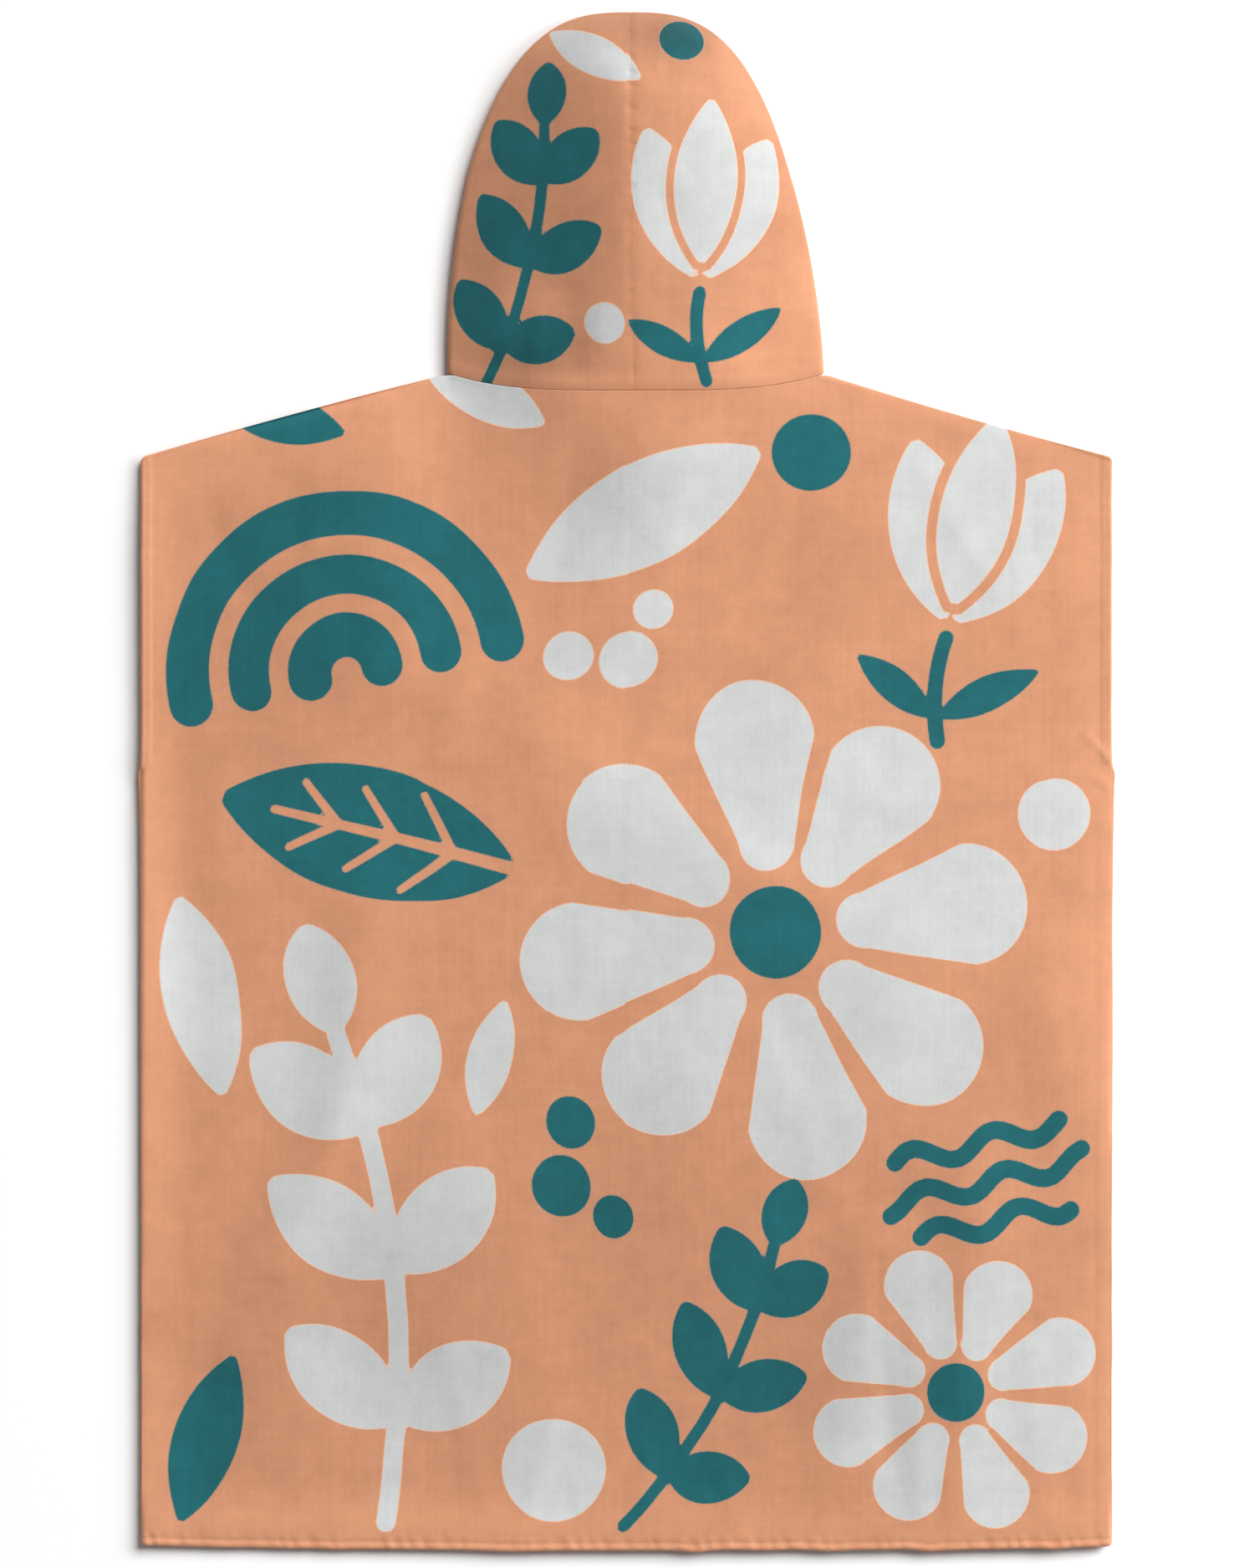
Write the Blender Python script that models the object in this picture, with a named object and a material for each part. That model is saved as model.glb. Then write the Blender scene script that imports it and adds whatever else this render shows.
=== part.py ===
# Hooded bath poncho, laid flat on its front with the back and the hood's crown seam up.
# Metres, +Z up. +Y runs from the hem to the crown, and the part lies on the plane z = 0.
# Four sewn pieces of towelling: front panel, back panel, left hood panel, right hood panel.
# Each is one wall of cloth whose upper and lower points are worked out on a grid.

import bpy
import bmesh
import numpy as np

# Cloth
CLOTH = 0.0024  # thickness of the towelling
SEAM_GAP = 0.0003  # clearance between two pieces at a seam
NECK_POINT_GAP = 0.0014  # clearance under the hood's rolled corner
PLY_GAP = 0.0007  # air between the front panel and the back panel lying on it
EDGE_ROUND = 0.0014  # how far in from an edge the cloth's corner is rounded

# Body panels
LENGTH = 1.2650  # hem to crown
HALF_WIDTH = 0.4000
HEM_Y = -LENGTH / 2
HEM_BOW = 0.0038  # the hem's corners sit this much higher than its middle
SHOULDER_Y = 0.2665  # shoulder tip
NECK_Y = 0.3350  # where shoulder seam, hood and both necklines meet
LEFT_ARCH, RIGHT_ARCH = 0.0014, -0.0020  # the shoulder line's rise above a straight one
ARMHOLE_END = 0.0100  # the side seam stops here and the armhole begins
CORNER_R = 0.0040

# Turned hems
HEM_DEPTH, HEM_RISE = 0.0070, 0.0019
CUFF_DEPTH, CUFF_RISE = 0.0065, 0.0014
STEP = 0.0015  # a turned edge's cloth steps up over this distance
ARMHOLE_EASE = 0.0060  # the armhole's turned edge starts over this distance

# Seams: the allowances turned inside lift the back panel beside its side and shoulder seams
ROLL_RISE, ROLL_AT, ROLL_WIDTH = 0.0026, 0.0100, 0.0120
SEAM_EASE = 0.0040  # no lift at the seam itself, all of it from here inwards
SEAM_SWELL, SEAM_SWELL_LENGTH = 0.0015, 0.0600  # the side seam bows out below the armhole
SIDE_TAPER = 0.0008  # and the body is this much narrower towards the hem

# Necklines
BACK_DIP, BACK_POWER = 0.0150, 3.5
FRONT_DIP, FRONT_POWER = 0.0850, 2.0

# Hood, laid on its face opening
HOOD_RISE = LENGTH / 2 - NECK_Y - CLOTH / 2  # neck points to the middle of the crown's cloth
HOOD_HALF = 0.1536
SIDE_POWER, CROWN_POWER = 2.88, 1.71  # outline: (x / half)^side + (rise / top)^crown = 1
HOOD_MID_X = 0.0076  # the hood lies a little to the right of the body
DOME = 0.0420  # the hood's loft over its rolled edge, where the crown seam stands highest
NECK_DOME = 0.0160  # the loft at the neck seam
DOME_POWER = 1.8  # across the hood the loft is 1 - out^power
DOME_LEAN = 0.05  # its slope at the crown seam, up towards the right
NECK_ROLL_R, ROLL_R = 0.0030, 0.0040  # radius of the roll between the upper and lower layer
ROLL_START = 66.0  # degrees round the roll, where the loft runs on to it
SETTLE = 0.25  # share of the rows over which the neck's curve eases into straight sections
SEAM_TOP_RISE = 0.2000  # where the crown seam's last section starts on the upper layer
LOWER_TOP_RISE = 0.2350  # and on the lower one
FACE_TOP_RISE = 0.2150  # top of the face opening
FACE_HALF, FACE_POWER = 0.0430, 2.6  # half its width, and its outline's power
NECK_FADE = 0.0550  # the back panel climbs to the hood over this distance
HUMP_FADE = 0.0800  # and the neck's loft runs out over this one
HUMP_BLEND, HUMP_SPREAD = 0.0300, 0.75  # away from the seam the loft is a bell this share of the neck wide
NECK_END, NECK_OUT = 0.85, 1.35  # the climb fades out between these shares of the neck's half width

# How the back panel lies: ridges and hollows from (x0, y0) to (x1, y1)
FOLD_COLUMNS = ("x0", "y0", "x1", "y1", "width", "height")
FOLDS = (
    (-0.200, -0.130, -0.212, -0.290, 0.034, 0.0042),
    (-0.212, -0.290, -0.268, -0.440, 0.034, 0.0040),
    (-0.140, -0.420, -0.185, -0.560, 0.045, 0.0028),
    (0.285, -0.340, 0.262, -0.570, 0.032, 0.0034),
    (0.205, -0.390, 0.180, -0.560, 0.026, 0.0022),
    (0.060, -0.300, 0.015, -0.480, 0.055, 0.0022),
    (-0.262, 0.215, -0.285, 0.090, 0.045, 0.0034),
    (0.015, 0.290, -0.030, 0.130, 0.042, 0.0030),
    (0.200, 0.200, 0.120, 0.030, 0.045, 0.0024),
    (0.330, 0.130, 0.350, -0.110, 0.030, 0.0026),
    (-0.352, 0.150, -0.335, -0.060, 0.028, 0.0026),
    (-0.060, -0.010, 0.080, -0.090, 0.050, 0.0028),
)

# Lean of the hood, a row for each level above the neck points
LEAN_COLUMNS = ("rise", "seam_x", "middle_x")
LEAN = (
    (0.000, 0.0058, HOOD_MID_X),
    (0.080, 0.0051, 0.0050),
    (0.170, 0.0043, 0.0018),
    (0.240, 0.0037, 0.0020),
    (HOOD_RISE, 0.0032, 0.0032),
)

# Grid lines, as distances in from an edge or as shares of a line
SIDE_STEPS = (0.0, 0.0014, 0.0040, 0.0065, 0.0080, 0.0200, 0.0400)
HEM_STEPS = (0.0, 0.0014, 0.0040, 0.0070, 0.0085, 0.0240, 0.0500)
TOP_STEPS = (0.0, 0.0014, 0.0040, 0.0090, 0.0170, 0.0320, 0.0560)
SHOULDER_SHARES = (0.25, 0.50, 0.75)
BACK_ROWS, FRONT_ROWS = 15, 8
DOME_SHARES = (0.0, 0.14, 0.29, 0.43, 0.56, 0.68, 0.79, 0.89, 0.96, 1.0)
ROLL_ANGLES = (45.0, 20.0, -5.0, -32.0, -60.0)
FLAP_SHARES = (0.0, 0.10, 0.24, 0.42, 0.60, 0.78, 0.90, 1.0)
HOOD_SHARES = (0.0, 0.03, 0.08, 0.15, 0.23, 0.32, 0.41, 0.50, 0.58, 0.66, 0.73,
               0.79, 0.84, 0.88, 0.915, 0.945, 0.970, 0.987, 1.0)

GROUND_COLOUR = (0.74, 0.35, 0.20)  # the print's peach ground, which every piece shares
TOWEL_ROUGHNESS = 0.9
STEEPEST = 1.6  # most that a slope adds to a wall's upright thickness
BACK_ROUND, FRONT_ROUND = 0.55, 0.40  # share of the cloth that an edge's round takes away
SHARP_ANGLE = 50.0


def smooth_step(low, high, at):
    share = np.clip((at - low) / (high - low), 0.0, 1.0)
    return share * share * (3.0 - 2.0 * share)


def column(table, names, name):
    return np.array([row[names.index(name)] for row in table])


def lean_x(name, rise):
    """Where the crown seam or the outline's middle runs at a level above the neck points."""
    return np.interp(rise, column(LEAN, LEAN_COLUMNS, "rise"), column(LEAN, LEAN_COLUMNS, name))


def neck_x(side):
    """The neck point on one side: side is -1 for left and 1 for right."""
    return HOOD_MID_X + side * HOOD_HALF


def half_width(y):
    """Half the body's width: the side seam sits a little outside the armhole's turned edge."""
    below = 1.0 - smooth_step(ARMHOLE_END - CORNER_R, ARMHOLE_END + CORNER_R, y)
    swell = SEAM_SWELL * np.exp(-(((y - ARMHOLE_END) / SEAM_SWELL_LENGTH) ** 2))
    taper = SIDE_TAPER * smooth_step(-0.15, -0.45, y)
    return HALF_WIDTH - 2.0 * SEAM_GAP + below * (2.0 * SEAM_GAP + swell) - taper


def hem_line(x):
    return HEM_Y + HEM_BOW * (x / HALF_WIDTH) ** 2


def neck_share(x):
    """0 at the crown seam and 1 at the neck point, on either side."""
    seam = lean_x("seam_x", 0.0)
    reach = np.where(x < seam, seam - neck_x(-1), neck_x(1) - seam)
    return np.abs(x - seam) / reach


def neckline(x, dip, power):
    """A panel's own cut at the neck, the seam's clearance below the hood's edge."""
    share = np.minimum(neck_share(x), 1.0)
    slope = dip * power * share ** (power - 1.0) / HOOD_HALF
    return NECK_Y - dip * (1.0 - share ** power) - SEAM_GAP * np.sqrt(1.0 + slope * slope)


def shoulder_line(x):
    reach = np.where(x < 0.0, HALF_WIDTH + neck_x(-1), HALF_WIDTH - neck_x(1))
    share = np.clip((HALF_WIDTH - np.abs(x)) / reach, 0.0, 1.0)
    arch = np.where(x < 0.0, LEFT_ARCH, RIGHT_ARCH)
    return SHOULDER_Y + (NECK_Y - SHOULDER_Y) * share + arch * 4.0 * share * (1.0 - share)


def top_line(x, dip, power):
    """The panel's upper edge: shoulder, neckline, shoulder."""
    inside = (x > neck_x(-1)) & (x < neck_x(1))
    line = np.where(inside, neckline(x, dip, power), shoulder_line(x))
    return np.minimum(line, NECK_Y - NECK_POINT_GAP)


def section_distance(x, y, start, end):
    """How far points lie from a straight stretch."""
    run = np.subtract(end, start)
    share = ((x - start[0]) * run[0] + (y - start[1]) * run[1]) / (run @ run)
    share = np.clip(share, 0.0, 1.0)
    return np.hypot(x - start[0] - share * run[0], y - start[1] - share * run[1])


def seam_distance(x, y):
    """How far points lie from the nearest closed seam of the body: side seams and shoulders."""
    side = HALF_WIDTH - np.abs(x) + 10.0 * np.maximum(y - ARMHOLE_END, 0.0)
    left = section_distance(x, y, (-HALF_WIDTH, SHOULDER_Y), (neck_x(-1), NECK_Y))
    right = section_distance(x, y, (HALF_WIDTH, SHOULDER_Y), (neck_x(1), NECK_Y))
    return np.minimum(np.maximum(side, 0.0), np.minimum(left, right))


def column_places(neck_places):
    """Each grid column's x and how fully it follows the side's own line."""
    places = []
    for side in (-1, 1):
        inner, outer = side * neck_x(side), HALF_WIDTH - SIDE_STEPS[-1]
        edge = [(HALF_WIDTH - step, 1.0) for step in SIDE_STEPS]
        middle = [(outer + (inner - outer) * share, 1.0 - share) for share in SHOULDER_SHARES]
        places += [(side * x, follow) for x, follow in edge + middle]
    return np.array(sorted(places + [(x, 0.0) for x in neck_places]))


def rounded(across, along):
    """Pulls a square corner of the grid in to an arc of CORNER_R."""
    p = np.clip(1.0 - across / CORNER_R, 0.0, 1.0)
    q = np.clip(1.0 - along / CORNER_R, 0.0, 1.0)
    new_across = np.where(p > 0.0, CORNER_R * (1.0 - p * np.sqrt(1.0 - q * q / 2.0)), across)
    new_along = np.where(q > 0.0, CORNER_R * (1.0 - q * np.sqrt(1.0 - p * p / 2.0)), along)
    return new_across, new_along


def panel_plan(neck_places, dip, power, row_count):
    """Plan of a body panel: x, y and the distances in from side, hem and upper edge."""
    places = column_places(neck_places)
    x0, follow = places[:, 0][None, :], places[:, 1][None, :]
    low, high = hem_line(x0), top_line(x0, dip, power)
    hem_rows = np.array(HEM_STEPS)[:, None]
    top_rows = np.array(TOP_STEPS[::-1])[:, None]
    shares = np.linspace(0.0, 1.0, row_count + 2)[1:-1, None]
    first, last = low + HEM_STEPS[-1], high - TOP_STEPS[-1]
    y = np.concatenate([low + hem_rows, first + (last - first) * shares, high - top_rows])
    across = np.broadcast_to(HALF_WIDTH - np.abs(x0), y.shape)
    from_hem, from_top = y - low, high - y
    turned_in, low_in = rounded(across, from_hem)
    turned_top, top_in = rounded(across, from_top)
    in_from_side = np.maximum(turned_in, turned_top)
    y = y + (low_in - from_hem) - np.where(across < CORNER_R, top_in - from_top, 0.0)
    x = np.sign(x0) * (HALF_WIDTH - in_from_side + follow * (half_width(y) - HALF_WIDTH))
    return x, y, across, from_hem, from_top


def turned_edges(y, across, from_hem):
    """Extra thickness where the hem and the armhole edges are turned in."""
    hem = HEM_RISE * (1.0 - smooth_step(HEM_DEPTH, HEM_DEPTH + STEP, from_hem))
    cuff = CUFF_RISE * (1.0 - smooth_step(CUFF_DEPTH, CUFF_DEPTH + STEP, across))
    return np.maximum(hem, cuff * smooth_step(ARMHOLE_END, ARMHOLE_END + ARMHOLE_EASE, y))


def edge_round(across, from_hem, from_top):
    """1 at a cut or turned edge and 0 where the cloth has its full thickness."""
    nearest = np.minimum(np.minimum(across, from_hem), from_top)
    share = np.clip(1.0 - nearest / EDGE_ROUND, 0.0, 1.0)
    return 1.0 - np.sqrt(1.0 - share * share)


def front_top(y, across, from_hem):
    return CLOTH + turned_edges(y, across, from_hem)


def roll_height(radius):
    """Height of the roll's circle over its lowest point, where the loft runs on to it."""
    return radius * (1.0 + np.sin(np.radians(ROLL_START)))


def roll_inset(radius):
    """How far in from the outline that point is."""
    return radius * (1.0 - np.cos(np.radians(ROLL_START)))


def neck_hump(share, from_neck):
    """The neck's loft on the back panel: the hood's own section at the seam, a bell further down."""
    at_seam = 1.0 - np.minimum(share, 1.0) ** DOME_POWER
    below = np.exp(-((share / HUMP_SPREAD) ** 2))
    blend = smooth_step(0.0, HUMP_BLEND, from_neck)
    return NECK_DOME * (at_seam + (below - at_seam) * blend) * np.exp(-((from_neck / HUMP_FADE) ** 2))


def back_lift(x, y, from_neck):
    """How far the back panel stands off the front one: seam rolls, the neck's rise and folds."""
    seam, share = seam_distance(x, y), neck_share(x)
    lift = ROLL_RISE * np.exp(-(((seam - ROLL_AT) / ROLL_WIDTH) ** 2))
    rise = roll_height(NECK_ROLL_R) - (CLOTH + PLY_GAP)
    at_neck = np.exp(-((from_neck / NECK_FADE) ** 2)) * (1.0 - smooth_step(NECK_END, NECK_OUT, share))
    lift = lift * (1.0 - at_neck) + rise * at_neck + neck_hump(share, from_neck)
    for row in FOLDS:
        fold = dict(zip(FOLD_COLUMNS, row))
        away = section_distance(x, y, (fold["x0"], fold["y0"]), (fold["x1"], fold["y1"]))
        lift = lift + fold["height"] * np.exp(-((away / fold["width"]) ** 2)) * (1.0 - at_neck)
    return lift * smooth_step(0.0, SEAM_EASE, seam)


def steepness(x, y, z):
    """Vertical thickness over true thickness, from the surface's slope on the grid."""
    along_i = np.gradient(np.stack([x, y, z], axis=-1), axis=0)
    along_j = np.gradient(np.stack([x, y, z], axis=-1), axis=1)
    normal = np.cross(along_j, along_i)
    return np.linalg.norm(normal, axis=-1) / np.abs(normal[..., 2])


def back_panel():
    seam = lean_x("seam_x", 0.0)
    places = [seam]
    for side in (-1, 1):
        reach = side * (neck_x(side) - seam)
        flat = 1.0 - roll_inset(NECK_ROLL_R) / np.hypot(reach, BACK_DIP)
        places += [seam + side * reach * flat * share for share in DOME_SHARES[1:]]
        places += [neck_x(side)]
    x, y, across, from_hem, from_top = panel_plan(places, BACK_DIP, BACK_POWER, BACK_ROWS)
    under = front_top(y, across, from_hem) + PLY_GAP + back_lift(x, y, from_top)
    thick = CLOTH * np.minimum(steepness(x, y, under), STEEPEST) + turned_edges(y, across, from_hem)
    over = under + thick * (1.0 - BACK_ROUND * edge_round(across, from_hem, from_top))
    add_wall("back_panel", np.stack([x, y, over], -1), np.stack([x, y, under], -1))


def front_panel():
    seam = lean_x("seam_x", 0.0)
    places = [seam]
    for side in (-1, 1):
        reach = side * (neck_x(side) - seam)
        flat = 1.0 - NECK_ROLL_R / np.hypot(reach, FRONT_DIP)
        places += [seam + side * reach * flat * (1.0 - share) for share in FLAP_SHARES[:-1]]
        places += [neck_x(side)]
    x, y, across, from_hem, from_top = panel_plan(places, FRONT_DIP, FRONT_POWER, FRONT_ROWS)
    over = front_top(y, across, from_hem)
    under = FRONT_ROUND * CLOTH * edge_round(across, from_hem, from_top)
    add_wall("front_panel", np.stack([x, y, over], -1), np.stack([x, y, under], -1))


def hood_surface(side):
    """Middle surface of one hood panel, a row for each section from neck seam to crown.

    A section starts at the crown seam, runs out over the dome to the outline, rolls under and
    comes back along the floor to the face opening or to the seam's lower stretch."""
    share = np.array(HOOD_SHARES)[:, None]
    angle = share * np.pi / 2
    edge_rise = HOOD_RISE * np.sin(angle) ** (2.0 / CROWN_POWER)
    half = HOOD_HALF * np.maximum(np.cos(angle), 0.0) ** (2.0 / SIDE_POWER)
    half[-1] = 0.0
    # Three points of each section in plan: upper seam, outline, inner end of the lower layer
    seam_rise = -BACK_DIP + edge_rise * (SEAM_TOP_RISE + BACK_DIP) / HOOD_RISE
    inner_rise = -FRONT_DIP + edge_rise * (LOWER_TOP_RISE + FRONT_DIP) / HOOD_RISE
    seam_x = lean_x("seam_x", seam_rise)
    edge_x = lean_x("middle_x", edge_rise) + side * half
    middle = (FACE_TOP_RISE - FRONT_DIP) / 2
    open_share = np.clip(np.abs(inner_rise - middle) / (FACE_TOP_RISE - middle), 0.0, 1.0)
    gape = FACE_HALF * (1.0 - open_share ** FACE_POWER) ** (1.0 / FACE_POWER)
    inner_x = lean_x("seam_x", inner_rise) + side * gape
    start = np.stack([seam_x, NECK_Y + seam_rise], -1)
    edge = np.stack([edge_x, NECK_Y + edge_rise], -1)
    inner = np.stack([inner_x, NECK_Y + inner_rise], -1)
    # Upper layer and the roll's upper half
    settle = smooth_step(0.0, SETTLE, share)
    roll = NECK_ROLL_R + (ROLL_R - NECK_ROLL_R) * settle
    reach = np.linalg.norm(edge - start, axis=-1)
    out = np.array(DOME_SHARES)[None, :]
    theta = np.radians(ROLL_ANGLES)[None, :]
    on_dome = out * (1.0 - roll_inset(roll) / reach)
    over = np.concatenate([on_dome, 1.0 - roll / reach * (1.0 - np.cos(theta))], 1)
    back_power = BACK_POWER + (1.0 - BACK_POWER) * settle
    powers = np.stack(np.broadcast_arrays(over, over ** back_power), -1)
    upper = start + (edge - start) * powers
    # Lower layer and the roll's lower half
    depth = np.linalg.norm(inner - edge, axis=-1)
    flap = np.array(FLAP_SHARES)[None, :]
    back_in = roll / depth + flap * (1.0 - roll / depth)
    front_power = FRONT_POWER + (1.0 - FRONT_POWER) * settle
    ease = np.stack(np.broadcast_arrays(1.0 - back_in, (1.0 - back_in) ** front_power), -1)
    lower = inner + (edge - inner) * ease
    plan = np.concatenate([upper, lower], axis=1)
    # Heights
    climbed = (seam_rise + BACK_DIP) / (SEAM_TOP_RISE + BACK_DIP)
    dome = NECK_DOME + (DOME - NECK_DOME) * np.sin(climbed * np.pi / 2)
    lean = DOME_LEAN * (edge_x - seam_x) * out * (1.0 - out) * settle
    top = CLOTH / 2 + roll_height(roll) + dome * (1.0 - out ** DOME_POWER) + lean
    rolled = CLOTH / 2 + roll * (1.0 + np.sin(theta))
    floor = np.broadcast_to(CLOTH / 2, back_in.shape)
    z = np.concatenate([top, rolled, floor], axis=1)
    return np.concatenate([plan, z[..., None]], axis=-1)


def hood_normals(surface, side):
    along_i = np.gradient(surface, axis=0)
    along_j = np.gradient(surface, axis=1)
    normal = np.cross(along_j, along_i) * side
    normal[0, :, 1] = 0.0  # the neck edge is cut square
    for edge in (normal[:, 0], normal[-1], normal[:, -1]):
        edge[:, 0] = 0.0  # and so is the crown seam
    flat = slice(len(DOME_SHARES) + len(ROLL_ANGLES), None)
    normal[:-1, flat] = (0.0, 0.0, -1.0)
    return normal / np.linalg.norm(normal, axis=-1, keepdims=True)


def hood_panel(name, side):
    surface = hood_surface(side)
    normal = hood_normals(surface, side)
    outer = surface + normal * CLOTH / 2
    inner = surface - normal * CLOTH / 2
    for skin in (outer, inner):
        seam = lean_x("seam_x", skin[..., 1] - NECK_Y) + side * SEAM_GAP / 2
        skin[..., 0] = side * np.maximum(side * skin[..., 0], side * seam)
        skin[..., 2] = np.maximum(skin[..., 2], 0.0)
    add_wall(name, outer, inner)


def towelling(name):
    material = bpy.data.materials.new(name)
    material.use_nodes = True
    shader = material.node_tree.nodes["Principled BSDF"]
    shader.inputs["Base Color"].default_value = (*GROUND_COLOUR, 1.0)
    shader.inputs["Roughness"].default_value = TOWEL_ROUGHNESS
    shader.inputs["Metallic"].default_value = 0.0
    return material


def add_wall(name, outer, inner):
    """A closed wall between two grids of points, one on each side of the cloth."""
    rows, columns = outer.shape[:2]
    count = rows * columns
    index = np.arange(count).reshape(rows, columns)
    a, b, c, d = index[:-1, :-1], index[:-1, 1:], index[1:, 1:], index[1:, :-1]
    # Two triangles a cell, the diagonal leading away from the grid's corners b and d
    skin = np.concatenate([np.stack(t, -1).reshape(-1, 3) for t in ((a, b, c), (a, c, d))])
    around = np.concatenate([index[0, :-1], index[:-1, -1], index[-1, :0:-1], index[:0:-1, 0]])
    after = np.roll(around, -1)
    faces = skin.tolist() + (skin[:, ::-1] + count).tolist()
    faces += np.stack([after, around, around + count, after + count], -1).tolist()
    mesh = bpy.data.meshes.new(name)
    mesh.from_pydata(np.concatenate([outer.reshape(-1, 3), inner.reshape(-1, 3)]).tolist(), [], faces)
    shape = bmesh.new()
    shape.from_mesh(mesh)
    bmesh.ops.recalc_face_normals(shape, faces=shape.faces)
    shape.to_mesh(mesh)
    shape.free()
    mesh.shade_smooth()
    mesh.set_sharp_from_angle(angle=np.radians(SHARP_ANGLE))
    mesh.materials.append(towelling(name + "_towelling"))
    piece = bpy.data.objects.new(name, mesh)
    bpy.context.scene.collection.objects.link(piece)
    return piece


for leftover in list(bpy.data.objects):
    bpy.data.objects.remove(leftover)

front_panel()
back_panel()
hood_panel("hood_left", -1)
hood_panel("hood_right", 1)
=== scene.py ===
# Hooded bath poncho of printed velour towelling, laid flat on its front, with the hood's crown seam up.
# Metres, +Z up. +Y runs from the hem to the crown, and the cloth lies on the plane z = 0.

import bmesh
import bpy
import numpy as np
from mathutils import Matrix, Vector


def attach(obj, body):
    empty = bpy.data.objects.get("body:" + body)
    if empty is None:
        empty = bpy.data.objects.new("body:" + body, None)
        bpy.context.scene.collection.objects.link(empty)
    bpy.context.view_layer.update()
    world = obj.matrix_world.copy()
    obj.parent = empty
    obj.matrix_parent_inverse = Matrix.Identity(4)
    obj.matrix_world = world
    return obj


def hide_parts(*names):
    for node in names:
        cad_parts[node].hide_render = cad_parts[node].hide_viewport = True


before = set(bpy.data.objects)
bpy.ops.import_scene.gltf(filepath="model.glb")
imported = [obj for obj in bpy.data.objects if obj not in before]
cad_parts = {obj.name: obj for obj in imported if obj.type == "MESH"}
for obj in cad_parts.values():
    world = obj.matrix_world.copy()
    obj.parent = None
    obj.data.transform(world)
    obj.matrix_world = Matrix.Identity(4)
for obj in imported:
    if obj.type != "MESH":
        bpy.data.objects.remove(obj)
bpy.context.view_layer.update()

print("frame loaded:", ", ".join(sorted(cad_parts)))


def smoothStep(low, high, at):  # 0 below low, 1 above high, an s-curve between them
    share = np.clip((at - low) / (high - low), 0.0, 1.0)
    return share * share * (3.0 - 2.0 * share)


def bell(at, width):  # 1 in the middle, falling away as exp(-(at / width)^2)
    return np.exp(-((at / width) ** 2))


def arcRise(at, width):  # a quarter ellipse: 0 at an edge, 1 from this width inwards
    share = np.clip(1.0 - at / width, 0.0, 1.0)
    return np.sqrt(1.0 - share * share)


noiseCells = 60  # softNoise repeats after this many squares

# each random draw's own seed
seeds = {
    "waver": (5, 6),
    "gape": 12,
    "hem": 21,
    "cuff": 24,
    "back": 31,
    "print": (41, 42),
    "hood": 51,
    "crown": 61,
}


def softNoise(x, y, size, seed):
    # random values of -1 to 1 at the corners of squares of this size, blended by s-curves
    values = np.random.default_rng(seed).uniform(-1.0, 1.0, (noiseCells + 1, noiseCells + 1))
    column, row = np.floor(x / size), np.floor(y / size)
    right, up = smoothStep(0.0, 1.0, x / size - column), smoothStep(0.0, 1.0, y / size - row)
    column, row = column.astype(int) % noiseCells, row.astype(int) % noiseCells
    low = values[row, column] * (1.0 - right) + values[row, column + 1] * right
    high = values[row + 1, column] * (1.0 - right) + values[row + 1, column + 1] * right
    return low * (1.0 - up) + high * up


gatherWave = {
    "main": 0.7,
    "second": 0.3,
    "secondPace": 1.63,  # its waves for each one of the main wave
    "drift": 1.4,  # radians
    "driftLength": 3.7,  # in main waves
}


def gathers(along, pitch, seed):
    # uneven gathers along a line of stitches: a wave whose pace drifts, plus one of another length
    first, second, third = np.random.default_rng(seed).uniform(0.0, 2.0 * np.pi, 3)
    turn = 2.0 * np.pi * along / pitch
    drift = gatherWave["drift"] * np.sin(turn / gatherWave["driftLength"] + second)
    main = gatherWave["main"] * np.sin(turn + first + drift)
    return main + gatherWave["second"] * np.sin(turn * gatherWave["secondPace"] + third)


def alongStretch(x, y, x0, y0, x1, y1):
    # the nearest place on a straight stretch, as a share of it, and how far off that is
    run = np.array([x1 - x0, y1 - y0])
    share = np.clip(((x - x0) * run[0] + (y - y0) * run[1]) / (run @ run), 0.0, 1.0)
    return share, np.hypot(x - x0 - share * run[0], y - y0 - share * run[1])


def stretchDistance(x, y, x0, y0, x1, y1):
    return alongStretch(x, y, x0, y0, x1, y1)[1]


def creaseHeights(table, x, y):
    # the sum of ridges and troughs, each height * exp(-(distance / width)^2) from its own stretch
    total = np.zeros_like(x)
    for x0, y0, x1, y1, width, height in table:
        total += height * bell(stretchDistance(x, y, x0, y0, x1, y1), width)
    return total


cloth = {
    "thickness": 0.0024,
    "seamGap": 0.00006,
    "plyGap": 0.0007,  # air between the front panel and the back panel on it
    "seamEdge": 0.0013,  # width of the round over a seam's edge
    "openEdge": 0.0019,  # and over a turned edge
    "hemEdge": 0.003,
    "rimFade": 0.01,  # the rim lies high beside a seam, and in the middle up to this far from a turned edge
    "gapEase": 0.0012,  # the air between the panels opens over this distance from a seam
    "printTurn": (2.0, 4.0),  # the printed side goes round a seam's edge this far, in widths of its round
    "seamRim": 0.92,  # the rim's level at a seam: 0 at the wall's middle, 1 at its printed skin
    "lumps": ((0.034, 0.00020), (0.012, 0.00007)),  # size and height of the cloth's own unevenness
}

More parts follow.
